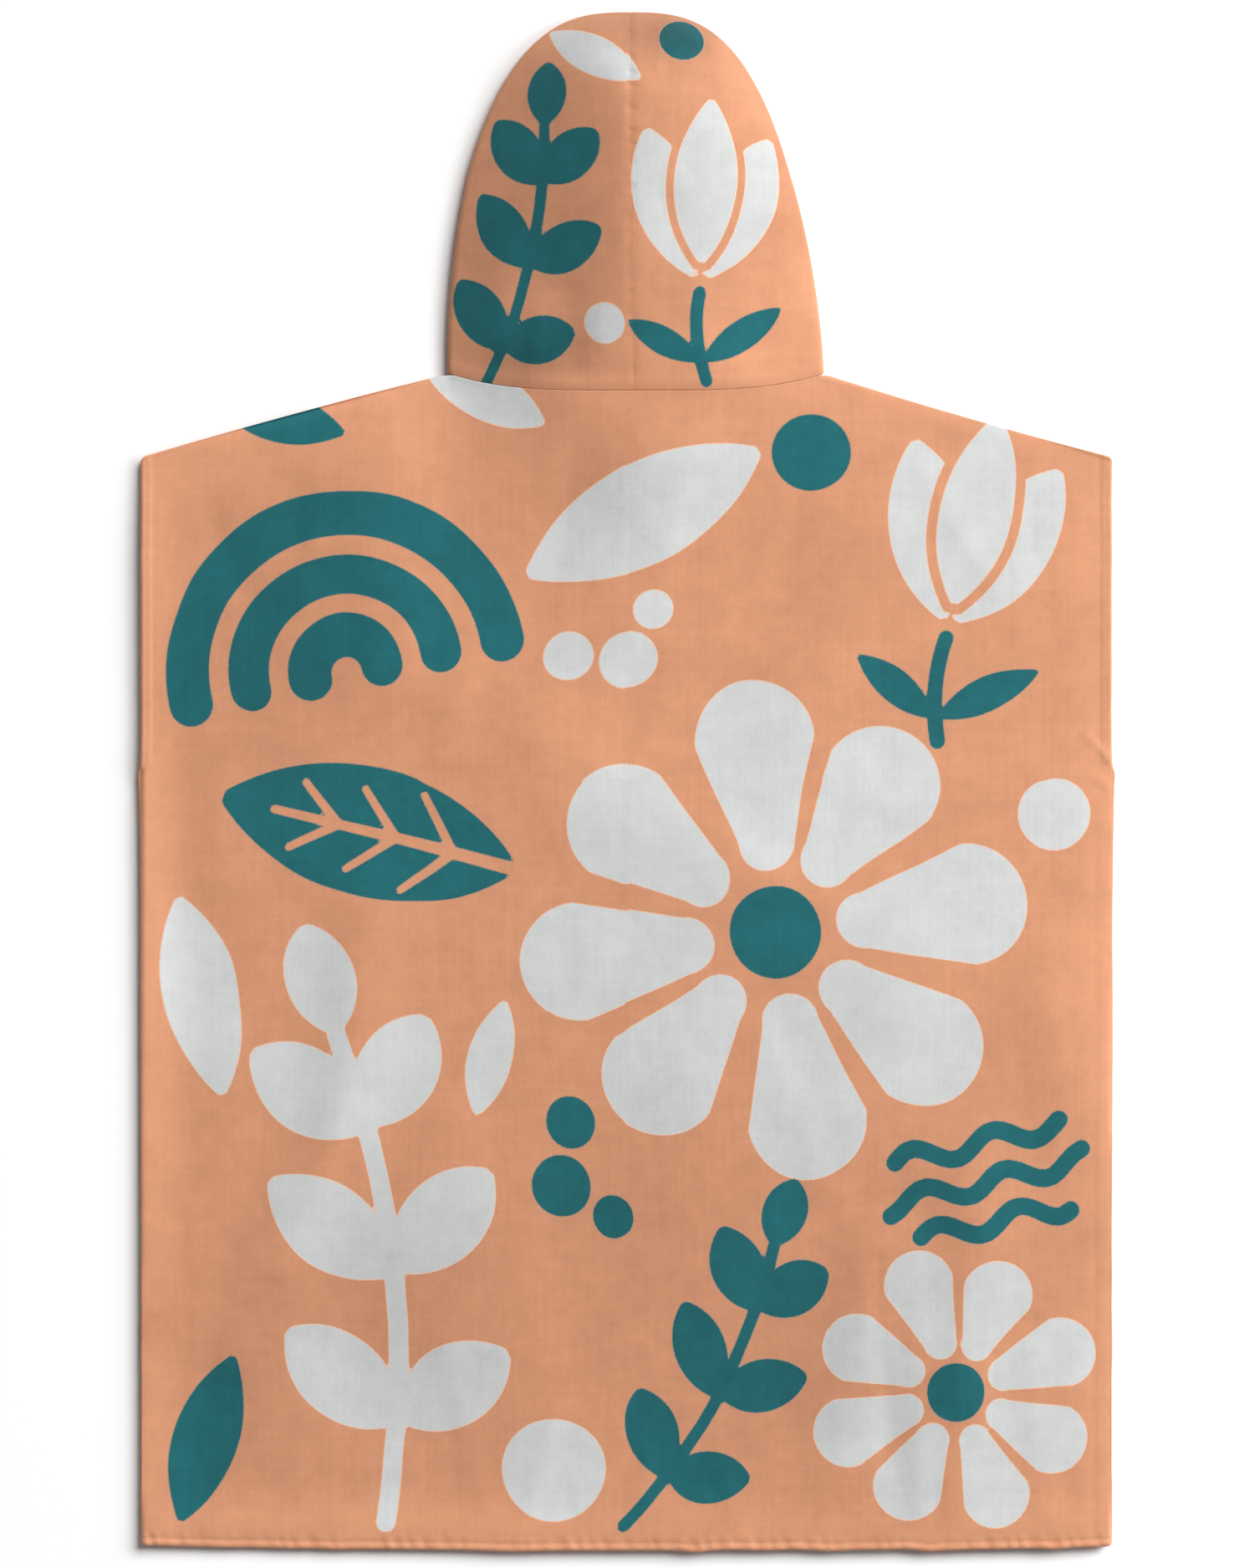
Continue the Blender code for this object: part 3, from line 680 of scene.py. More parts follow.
def stroke(u, v, u0, v0, u1, v1, r0, r1):  # a line with round ends whose half width runs from r0 to r1
    share, away = alongStretch(u, v, u0, v0, u1, v1)
    return r0 + (r1 - r0) * share - away


def lens(u, v, u0, v0, u1, v1, width):  # a leaf: where two equal discs overlap, its tips cut short
    length = np.hypot(u1 - u0, v1 - v0) / 2
    alongU, alongV = (u1 - u0) / (2 * length), (v1 - v0) / (2 * length)
    fromU, fromV = u - (u0 + u1) / 2, v - (v0 + v1) / 2
    along, across = fromU * alongU + fromV * alongV, np.abs(fromV * alongU - fromU * alongV)
    radius = (length ** 2 + width ** 2) / (2 * width)
    return np.minimum(radius - np.hypot(along, across + radius - width), 0.96 * length - np.abs(along))


def ribbon(u, v, line, halfWidth):  # strokes from point to point of a line
    parts = [stroke(u, v, *line[i], *line[i + 1], halfWidth, halfWidth) for i in range(len(line) - 1)]
    return np.maximum.reduce(parts)


def bend(first, middle, last, count=11):
    # points of a quadratic curve: (1-t)^2 first + 2 t (1-t) middle + t^2 last
    t = np.linspace(0.0, 1.0, count)[:, None]
    return (1 - t) ** 2 * np.array(first) + 2 * t * (1 - t) * np.array(middle) + t ** 2 * np.array(last)


def daisy(u, v):
    reaches = (0.80, 0.74, 0.79, 0.76, 0.81, 0.75, 0.78, 0.77)
    petals = []
    for i, reach in enumerate(reaches):
        turn = 2.0 * np.pi * i / len(reaches) + 0.03 * np.sin(2.3 * i)
        a, b = np.cos(turn), np.sin(turn)
        petals.append(stroke(u, v, 0.37 * a, 0.37 * b, reach * a, reach * b, 0.112, 0.243))
    return np.maximum.reduce(petals)


def disc(u, v):
    return 1.0 - np.hypot(u, v)


def sprig(u, v):
    line = bend((-0.12, -1.0), (0.16, -0.2), (0.0, 0.62))
    parts = [ribbon(u, v, line, 0.030), lens(u, v, *line[-1], -0.04, 1.0, 0.115)]
    for i, (at, length) in enumerate(((2, 0.46), (5, 0.50), (8, 0.45))):
        run = line[at] - line[at - 1]
        along = np.arctan2(run[1], run[0])
        for side in (-1, 1):
            aim, base = along + side * np.radians(54.0 - 6.0 * i), line[at] - 0.05 * side * run
            tip = base + length * (1.0 + 0.06 * side) * np.array([np.cos(aim), np.sin(aim)])
            parts.append(lens(u, v, *base, *tip, 0.135))
    return np.maximum.reduce(parts)


def tulip(u, v):
    cup = np.maximum(lens(u, v, -0.04, -0.62, -0.58, 0.66, 0.30), lens(u, v, 0.04, -0.62, 0.54, 0.70, 0.30))
    middle = lens(u, v, 0.0, -0.50, -0.02, 0.98, 0.27)
    return np.maximum(np.minimum(cup, -middle - 0.085), middle)


def stalk(u, v):
    line = bend((0.0, -0.74), (-0.05, -1.1), (0.12, -1.50))
    leaves = np.maximum(lens(u, v, *line[8], 0.74, -0.80, 0.13), lens(u, v, *line[8], -0.62, -1.02, 0.12))
    return np.maximum(ribbon(u, v, line, 0.055), leaves)


def veinedLeaf(u, v):
    veins = [stroke(u, v, 0.0, -1.2, 0.0, 0.62, 0.045, 0.030)]
    for at, reach in ((-0.56, 0.32), (-0.18, 0.27), (0.20, 0.22)):
        veins += [stroke(u, v, 0.0, at, side * reach, at + 0.27, 0.032, 0.026) for side in (-1, 1)]
    return np.minimum(lens(u, v, 0.0, -1.0, 0.0, 1.0, 0.42), -np.maximum.reduce(veins))


def leaf(u, v):
    return lens(u, v, 0.0, -1.0, 0.0, 1.0, 0.36)


def arches(u, v):  # upper halves of three rings with round ends
    parts = []
    for radius, half in ((0.20, 0.115), (0.53, 0.110), (0.87, 0.120)):
        ring = half - np.abs(np.hypot(u, v) - radius)
        ends = half - np.hypot(np.abs(u) - radius, v)
        parts.append(np.where(v > 0.0, ring, ends))
    return np.maximum.reduce(parts)


def ripples(u, v):  # three wavy lines with round ends
    parts = []
    for shift, reach in ((0.40, 0.84), (0.0, 1.0), (-0.40, 0.76)):
        at = np.linspace(-reach, reach, 25)
        wave = shift + 0.10 * np.sin(2.0 * np.pi * at / 0.82 + 0.6 * shift)
        parts.append(ribbon(u, v, np.stack([at, wave], -1), 0.088))
    return np.maximum.reduce(parts)


def pebbles(u, v):
    stones = ((-0.62, 0.12, 0.30), (0.08, -0.26, 0.36), (0.66, 0.22, 0.25))
    return np.maximum.reduce([radius - np.hypot((u - a) * 0.92, v - b) for a, b, radius in stones])


# Where the motifs lie: kind, ink, x, y, size and turn in degrees
bodyMotifs = (
    (daisy, "white", 0.122, -0.124, 0.200, 8),
    (disc, "teal", 0.122, -0.124, 0.038, 0),
    (daisy, "white", 0.270, -0.502, 0.116, 20),
    (disc, "teal", 0.270, -0.502, 0.024, 0),
    (sprig, "white", -0.212, -0.360, 0.248, 10),
    (sprig, "teal", 0.080, -0.474, 0.160, -24),
    (tulip, "white", 0.282, 0.196, 0.110, -14),
    (stalk, "teal", 0.282, 0.196, 0.110, -14),
    (arches, "teal", -0.230, 0.090, 0.150, 12),
    (veinedLeaf, "teal", -0.212, -0.042, 0.128, 76),
    (ripples, "teal", 0.296, -0.330, 0.082, 14),
    (leaf, "white", 0.014, 0.220, 0.112, -62),
    (disc, "teal", 0.152, 0.270, 0.032, 0),
    (pebbles, "white", -0.010, 0.112, 0.062, 24),
    (leaf, "white", -0.350, -0.176, 0.086, 12),
    (disc, "white", 0.352, -0.028, 0.029, 0),
    (leaf, "teal", -0.286, 0.300, 0.058, 74),
    (disc, "white", -0.060, -0.566, 0.042, 0),
    (leaf, "teal", -0.346, -0.540, 0.074, -18),
    (pebbles, "teal", -0.040, -0.322, 0.066, -70),
    (leaf, "white", -0.118, 0.318, 0.058, 64),
    (leaf, "white", -0.112, -0.228, 0.050, -14),
)

hoodMotifs = (
    (tulip, "white", 0.064, 0.466, 0.092, -4),
    (stalk, "teal", 0.064, 0.466, 0.092, -4),
    (sprig, "teal", -0.082, 0.448, 0.142, -10),
    (leaf, "white", -0.026, 0.592, 0.044, 58),
    (disc, "teal", 0.044, 0.604, 0.018, 0),
    (disc, "white", -0.018, 0.374, 0.016, 0),
    (leaf, "white", -0.208, 0.560, 0.074, -30),
    (leaf, "teal", 0.226, 0.372, 0.070, 20),
)

printing = {
    "waver": 0.0012,  # the hand-cut unevenness of the outlines
    "waverSize": 0.046,
    "plain": -0.03,  # the fields' lowest value
    "frontShift": (0.06, -0.30),  # the front is printed as the back is at these values less its own x and y
}


def printFields(motifs, x, y):
    # both inks' distances inside their outlines: the greatest of the motifs' fields, each turned and scaled
    x = x + printing["waver"] * softNoise(x, y, printing["waverSize"], seeds["print"][0])
    y = y + printing["waver"] * softNoise(x, y, printing["waverSize"], seeds["print"][1])
    inks = {"white": np.full_like(x, printing["plain"]), "teal": np.full_like(x, printing["plain"])}
    for kind, ink, midX, midY, size, turn in motifs:
        c, s = np.cos(np.radians(turn)), np.sin(np.radians(turn))
        u, v = (x - midX) * c + (y - midY) * s, (y - midY) * c - (x - midX) * s
        near = (np.abs(u) < 2.0 * size) & (np.abs(v) < 2.0 * size)
        inks[ink][near] = np.maximum(inks[ink][near], size * kind(u[near] / size, v[near] / size))
    return {"whitePrint": inks["white"], "tealPrint": inks["teal"]}


def addObject(name, data):
    thing = bpy.data.objects.new(name, data)
    bpy.context.scene.collection.objects.link(thing)
    return thing


def addField(mesh, name, values):  # a value at each point, which a material reads by its name
    mesh.attributes.new(name, "FLOAT", "POINT").data.foreach_set("value", values.astype(np.float32).ravel())


def addPiece(name, points, faces, fields, flat):
    # a mesh of worked-out points, with its fields, and with the flat cloth's places in metres as its UV map
    mesh = bpy.data.meshes.new(name)
    mesh.from_pydata(np.stack(points, -1).tolist(), [], faces)
    shape = bmesh.new()
    shape.from_mesh(mesh)
    bmesh.ops.recalc_face_normals(shape, faces=shape.faces)
    shape.to_mesh(mesh)
    shape.free()
    for field, values in fields.items():
        addField(mesh, field, values)
    corners = np.empty(len(mesh.loops), np.int32)
    mesh.loops.foreach_get("vertex_index", corners)
    layer = mesh.uv_layers.new(name="cloth")
    layer.uv.foreach_set("vector", np.stack(flat, -1)[corners].astype(np.float32).ravel())
    mesh.shade_smooth()
    print(name, "made:", sum(len(face) - 2 for face in faces), "triangles")
    return addObject(name, mesh)


def turnedCloth(y, across, fromHem, fromTop):
    # 1 where the printed side shows on both faces, as on a turned hem, and round a seam's edge
    blur, (near, far) = hems["printEdge"], cloth["printTurn"]
    hem = 1.0 - smoothStep(hems["hemDepth"] - blur, hems["hemDepth"] + blur, fromHem)
    cuff = 1.0 - smoothStep(hems["cuffDepth"] - blur, hems["cuffDepth"] + blur, across)
    edge = 1.0 - smoothStep(near * cloth["seamEdge"], far * cloth["seamEdge"], np.minimum(across, fromTop))
    return np.maximum(np.maximum(hem, edge), cuff * armhole(y))


def makeBack():
    x0, up, level, faces = panelGrid(panelPlan["backSpacing"], True)
    x, y, z, *edges = backPoints(x0, up, level)
    fields = printFields(bodyMotifs, x, y)
    # painted light and shade on the back panel, from the patches above
    fields["paintedShading"] = creaseHeights(bodyPaintedShading, x, y)
    fields["lining"] = np.where(level < 0.0, 1.0 - turnedCloth(y, *edges), 0.0)
    return addPiece("back_cloth", (x, y, z), faces, fields, (x, y))


def makeFront():
    x0, up, level, faces = panelGrid(panelPlan["frontSpacing"], False)
    x, y, z, *edges = frontPoints(x0, up, level)
    fields = printFields(bodyMotifs, printing["frontShift"][0] - x, printing["frontShift"][1] - y)
    # and the same painted light and shade on the front panel
    fields["paintedShading"] = creaseHeights(bodyPaintedShading, x, y)
    fields["lining"] = np.where(level > 0.0, 1.0 - turnedCloth(y, *edges), 0.0)
    return addPiece("front_cloth", (x, y, z), faces, fields, (x, y))


def lineShares(count, fineStart, fineEnd):  # even shares of 0 to 1, with the extra lines at a seam's end
    even = np.linspace(0.0, 1.0, count)
    fine = np.array(hood["edgeShares"])
    even = even[(even > fine[-1] * 1.5) & (even < 1.0 - fine[-1] * 1.5)]
    start = fine if fineStart else np.array([0.0])
    end = 1.0 - fine[::-1] if fineEnd else np.array([1.0])
    return np.concatenate([start, even, end])


def domeSection(side, out, settle, share):
    # 1 at the crown seam and 0 at the outline: 1 - out^power on the right, and on the left, between neck and
    # crown, 1 - (sqrt(out^2 + round^2) - round) / (sqrt(1 + round^2) - round)
    power = 1.0 - out ** (hood["neckPower"] + (hood["domePower"] - hood["neckPower"]) * settle)
    soft = hood["domeRound"]
    straight = 1.0 - (np.sqrt(out ** 2 + soft ** 2) - soft) / (np.sqrt(1.0 + soft ** 2) - soft)
    blend = settle * (1.0 - smoothStep(*hood["straightEnd"], share)) * (side < 0)
    return power + (straight - power) * blend


def hoodMiddle(side):
    # Middle surface of one hood half, a row for each section from neck seam to crown. A section runs from the
    # crown seam out over the dome, rolls under at the outline and comes back along the floor to the face
    # opening. The outline is (x / half)^side + (rise / top)^crown = 1. The dome's height grows from the neck
    # to the top as a quarter sine
    share = 1.0 - (1.0 - lineShares(hood["rows"], True, True)[:, None]) ** hood["rowPower"]
    angle = share * np.pi / 2
    edgeRise = hood["rise"] * np.sin(angle) ** (2.0 / hood["crownPower"])
    half = hood["half"] * np.maximum(np.cos(angle), 0.0) ** (2.0 / hood["sidePower"])
    half[-1] = 0.0
    seamRise = edgeRise * (body["backDip"] + hood["seamTopRise"]) / hood["rise"] - body["backDip"]
    innerRise = edgeRise * (body["frontDip"] + hood["lowerTopRise"]) / hood["rise"] - body["frontDip"]
    seamX = leanX(1, seamRise)
    middle = (hood["faceTopRise"] - body["frontDip"]) / 2
    openShare = np.clip(np.abs(innerRise - middle) / (hood["faceTopRise"] - middle), 0.0, 1.0)
    gape = hood["faceHalf"] * (1.0 - openShare ** hood["facePower"]) ** (1.0 / hood["facePower"])
    start = np.stack([seamX, body["neckY"] + seamRise], -1)
    edge = np.stack([leanX(2, edgeRise) + side * half, body["neckY"] + edgeRise], -1)
    inner = np.stack([leanX(1, innerRise) + side * gape, body["neckY"] + innerRise], -1)
    settle = smoothStep(0.0, hood["settle"], share)
    roll = hood["neckRoll"] + (hood["roll"] - hood["neckRoll"]) * settle
    reach = np.linalg.norm(edge - start, axis=-1)
    out = lineShares(hood["domeColumns"], True, False)[None, :]
    first, last, count = hood["rollStart"], hood["rollEnd"], hood["rollColumns"]
    theta = np.radians(np.linspace(first - (first - last) / count, last, count))[None, :]
    inset = roll * (1.0 - np.cos(np.radians(first)))
    over = np.concatenate([out * (1.0 - inset / reach), 1.0 + roll / reach * (np.cos(theta) - 1.0)], 1)
    backPower = body["backPower"] + (1.0 - body["backPower"]) * settle
    upper = start + (edge - start) * np.stack(np.broadcast_arrays(over, over ** backPower), -1)
    depth = np.linalg.norm(inner - edge, axis=-1)
    flap = 1.0 - lineShares(hood["flapColumns"], True, False)[::-1][None, :]
    backIn = 1.0 - (roll / depth + flap * (1.0 - roll / depth))
    frontPower = body["frontPower"] + (1.0 - body["frontPower"]) * settle
    lower = inner + (edge - inner) * np.stack(np.broadcast_arrays(backIn, backIn ** frontPower), -1)
    plan = np.concatenate([upper, lower], axis=1)
    climbed = (seamRise + body["backDip"]) / (hood["seamTopRise"] + body["backDip"])
    dome = hood["neckDome"] + (hood["dome"] - hood["neckDome"]) * np.sin(climbed * np.pi / 2)
    base = cloth["thickness"] / 2
    top = base + rollHeight(roll) + dome * domeSection(side, out, settle, share)
    rolled = base + roll * (1.0 + np.sin(theta))
    floor = np.broadcast_to(base, backIn.shape)
    onRoll = smoothStep(*hood["foldEnd"], np.sin(theta[0]))
    onTop = np.concatenate([np.ones(out.size), onRoll, np.zeros(flap.size)])
    onFlap = np.arange(onTop.size) >= out.size + count
    return np.concatenate([plan, np.concatenate([top, rolled, floor], 1)[..., None]], -1), onTop, onFlap


def arcLengths(surface, axis):  # lengths along the grid's lines, from the first point of each
    steps = np.linalg.norm(np.diff(surface, axis=axis), axis=-1)
    return np.concatenate([np.zeros_like(np.take(steps, [0], axis)), np.cumsum(steps, axis)], axis)


def surfaceNormals(surface, side):
    # across the surface from the grid's own slopes; square to each seam's plane at the edges
    along = np.gradient(surface, axis=0)
    across = np.gradient(surface, axis=1)
    normal = np.cross(across, along) * side
    normal[0, :, 1] = 0.0
    for edge in (normal[:, 0], normal[-1], normal[:, -1]):
        edge[:, 0] = 0.0
    return normal / np.linalg.norm(normal, axis=-1, keepdims=True)


def neckLine(x, onFlap):  # y of the front's neckline under the flap, and of the back's elsewhere
    return body["neckY"] - np.where(onFlap, neckDepth(x, "front"), neckDepth(x, "back"))


def makeHood(name, side):
    surface, onTop, onFlap = hoodMiddle(side)
    # the print lies as it is seen from above, and runs on along each section where the hood turns under
    along = arcLengths(surface, 1)
    dome = int((onTop == 1.0).sum()) - 1
    beyond = np.maximum(along - along[:, [dome]], 0.0)[..., None]
    run = surface[:, [dome], :2] - surface[:, [0], :2]
    run = run / np.linalg.norm(run, axis=-1, keepdims=True)
    flatCloth = np.where(beyond > 0.0, surface[:, [dome], :2] + run * beyond, surface[..., :2])
    x, y = surface[..., 0], surface[..., 1]
    fromNeck, fromFace = arcLengths(surface, 0), arcLengths(surface[:, ::-1], 1)[:, ::-1]
    seamX = leanX(1, y - body["neckY"])
    fromSeam = np.abs(x - seamX)
    # folds, the roll of cloth over the neck seam, and the crown seam's groove with its dimples
    puff = hood["neckPuff"] * bell(fromNeck - hood["neckPuffAt"], hood["neckPuffWidth"])
    lumps = sum(high * softNoise(x, y, size, seeds["hood"]) for size, high in cloth["lumps"])
    shape = (creaseHeights(hoodFolds, x, y) + lumps) * smoothStep(0.0, hood["foldStart"], fromNeck) + puff
    dimple = np.maximum(gathers(y, hood["seamPitch"], seeds["crown"]), 0.0) * hood["seamDimple"]
    groove = (hood["seamGroove"] + dimple) * bell(fromSeam, hood["seamGrooveWidth"])
    surface[..., 2] += (shape - groove) * onTop
    normal = surfaceNormals(surface, side)
    # the flap lies flat, apart from its first few lines, over which the roll's normals turn into its own
    normal[:-1, -hood["flapColumns"]:] = (0.0, 0.0, -1.0)
    rim = np.minimum(arcRise(fromSeam, cloth["seamEdge"]), arcRise(fromNeck, cloth["seamEdge"]))
    rim = np.minimum(rim, arcRise(fromFace, cloth["seamEdge"]))
    level = hood["neckRim"] * bell(fromNeck, cloth["rimFade"])
    level = (level + (hood["crownRim"] - level) * bell(fromSeam, cloth["rimFade"])) * onTop
    skins = []
    # each skin is kept on its own side of the crown seam's plane, the necklines and the floor
    for face in (1.0, -1.0):
        skin = surface + normal * ((level + (face - level) * rim) * cloth["thickness"] / 2)[..., None]
        plane = leanX(1, skin[..., 1] - body["neckY"]) + side * cloth["seamGap"] / 2
        skin[..., 0] = side * np.maximum(side * skin[..., 0], side * plane)
        skin[..., 1] = np.maximum(skin[..., 1], neckLine(skin[..., 0], onFlap))
        skin[..., 2] = np.maximum(skin[..., 2], 0.0)
        skins.append(skin)
    # the two skins share their rim
    rows, columns = x.shape
    index = np.arange(rows * columns).reshape(rows, columns)
    inner = index.copy()
    inner[1:-1, 1:-1] = rows * columns + np.arange((rows - 2) * (columns - 2)).reshape(rows - 2, columns - 2)
    faces = gridQuads(index) + gridQuads(inner[::-1])
    points = np.concatenate([skins[0].reshape(-1, 3), skins[1][1:-1, 1:-1].reshape(-1, 3)])
    flat = np.concatenate([flatCloth.reshape(-1, 2), flatCloth[1:-1, 1:-1].reshape(-1, 2)]).T
    fields = printFields(hoodMotifs, *flat)
    # painted light and shade on the hood, from the patches above
    fields["paintedShading"] = creaseHeights(hoodPaintedShading, *flat)
    fields["lining"] = np.concatenate([np.zeros(x.size), np.ones((rows - 2) * (columns - 2))])
    return addPiece(name, points.T, faces, fields, flat)


pieces = {"front_panel": makeFront(), "back_panel": makeBack()}
pieces["hood_left"] = makeHood("hood_left_cloth", -1)
pieces["hood_right"] = makeHood("hood_right_cloth", 1)

stitching = {
    "pitch": 0.0036,
    "length": 0.0029,
    "radius": 0.00024,
    "sides": 6,
    "rings": 5,
    "proud": 0.00012,  # how far the middle of a stitch stands above the cloth
    "sunk": 0.00028,  # and how far its ends go in
    "endShare": 0.35,  # radius of its ends, as a share of the middle's
    "hemInset": 0.006,  # each row starts and stops this far inside its line
    "cuffInset": (0.003, 0.004),
    "lookUp": (0.6, 400),  # the look-up of y for the armholes' rows: its start in the plan, its places
}


def stitchRow(x0, up):
    # one stitch for each step along a line on the back panel: a tube whose radius and centre line follow half
    # a sine from end to end
    centre = np.stack(backPoints(x0, up, np.ones_like(x0))[:3], -1)
    ahead = np.roll(centre, -1, 0)[:-1]
    centre = centre[:-1]
    run = (ahead - centre) * (stitching["length"] / stitching["pitch"])
    across = np.cross(run, (0.0, 0.0, 1.0))
    across /= np.linalg.norm(across, axis=-1, keepdims=True)
    t = np.linspace(0.0, 1.0, stitching["rings"])[None, :, None, None]
    turn = (2.0 * np.pi * np.arange(stitching["sides"]) / stitching["sides"])[None, None, :, None]
    arch = np.sin(np.pi * t)
    radius = stitching["radius"] * (stitching["endShare"] + (1.0 - stitching["endShare"]) * arch)
    height = stitching["proud"] * arch - stitching["sunk"] * (1.0 - arch)
    points = centre[:, None, None] + run[:, None, None] * t + radius * np.cos(turn) * across[:, None, None]
    points = points + (radius * np.sin(turn) + height) * np.array([0.0, 0.0, 1.0])
    count, rings, sides = points.shape[:3]
    index = np.arange(count * rings * sides).reshape(count, rings, sides)
    after = np.roll(index, -1, 2)
    walls = np.stack([index[:, :-1], after[:, :-1], after[:, 1:], index[:, 1:]], -1).reshape(-1, 4).tolist()
    ends = index[:, 0, ::-1].tolist() + index[:, -1].tolist()
    return points.reshape(-1, 3), walls + ends


def makeStitches():
    # the hem's line, and each armhole's from the side seam's end to the shoulder
    half, pitch, inset = body["halfWidth"], stitching["pitch"], stitching["hemInset"]
    hemX = np.arange(-half + inset, half - inset, pitch)
    lines = [(hemX, np.full_like(hemX, hems["hemDepth"] - hems["stitchIn"]))]
    start, end = stitching["cuffInset"]
    at = np.arange(body["armholeEnd"] + start, body["shoulderY"] - end, pitch)
    lookStart, places = stitching["lookUp"]
    ups = np.linspace(lookStart, panelPlan["run"], places)
    for side in (-1, 1):
        x0 = side * (half - hems["cuffDepth"] + hems["stitchIn"])
        y = panelPlaces(np.full_like(ups, x0), ups, "back")[1]
        lines.append((np.full_like(at, x0), np.interp(at, y, ups)))
    points, faces, count = [], [], 0
    for x0, up in lines:
        more, moreFaces = stitchRow(x0, up)
        faces += [[corner + count for corner in face] for face in moreFaces]
        points.append(more)
        count += len(more)
    points = np.concatenate(points)
    return addPiece("back_stitching", points.T, faces, {}, (points[:, 0], points[:, 1]))


stitches = makeStitches()


class Value:  # one output socket of a shader, on which + - * / add Math nodes
    def __init__(self, shader, socket):
        self.shader, self.socket = shader, socket

    def maths(self, operation, *inputs):
        return self.shader.node("Math", {"operation": operation}, dict(enumerate(inputs)))

    def __add__(self, other):
        return self.maths("ADD", self, other)

    def __sub__(self, other):
        return self.maths("SUBTRACT", self, other)

    def __mul__(self, other):
        return self.maths("MULTIPLY", self, other)

    def __rsub__(self, other):
        return self.maths("SUBTRACT", other, self)

    __radd__, __rmul__ = __add__, __mul__


class Shader:
    def __init__(self, name):
        self.material = bpy.data.materials.new(name)
        self.material.use_nodes = True
        self.nodes, self.links = self.material.node_tree.nodes, self.material.node_tree.links
        self.surface = self.nodes["Principled BSDF"]

    def put(self, node, sockets):
        for key, value in sockets.items():
            socket = node.inputs[key]
            if isinstance(value, Value):
                self.links.new(value.socket, socket)
            else:
                socket.default_value = value

    def node(self, kind, settings, sockets, output=0):  # the settings first, then the sockets
        node = self.nodes.new("ShaderNode" + kind)
        for key, value in settings.items():
            setattr(node, key, value)
        self.put(node, sockets)
        return Value(self, node.outputs[output])

    def field(self, name):  # an attribute of the mesh
        return self.node("Attribute", {"attribute_name": name}, {}, "Fac")

    def mix(self, factor, first, second):
        return self.node("Mix", {"data_type": "RGBA"}, {0: factor, 6: first, 7: second}, 2)

    def finish(self, **sockets):
        self.put(self.surface, {key.replace("_", " "): value for key, value in sockets.items()})
        return self.material


look = {
    "peach": (0.604, 0.274, 0.151, 1.0),
    "white": (0.564, 0.574, 0.568, 1.0),
    "teal": (0.009, 0.119, 0.134, 1.0),
    "whiteFringe": (0.800, 0.610, 0.480, 1.0),
    "tealFringe": (0.330, 0.230, 0.180, 1.0),
    "lining": (0.700, 0.680, 0.630, 1.0),
    "edge": 0.00035,  # half the width over which one ink passes into the next
    "fray": 0.0005,
    "fraySize": 650.0,  # waves per metre
    "fringe": 0.0009,
    "fringeStrength": 0.65,
    "clouds": ((7.0, 0.16), (26.0, 0.15), (62.0, 0.13), (150.0, 0.07)),  # waves per metre, strength
    "streaks": (230.0, 0.075, 0.055),  # brushed lines: fineness, strength along the cloth and across it
    "tufts": (800.0, 0.07),
    "whiteUneven": 0.8,  # how much of the unevenness the inks show
    "tealUneven": 1.6,
    "relief": {"tufts": 0.6, "clouds": 4.0, "lines": 5.0, "loops": 0.9},
    "loops": 620.0,
    "roughness": 0.94,
    "specular": 0.3,
    "sheen": 0.09,
    "sheenRoughness": 0.45,
    "sheenTint": (1.0, 0.93, 0.88, 1.0),
    "bump": 0.34,
    "bumpDepth": 0.0006,
}


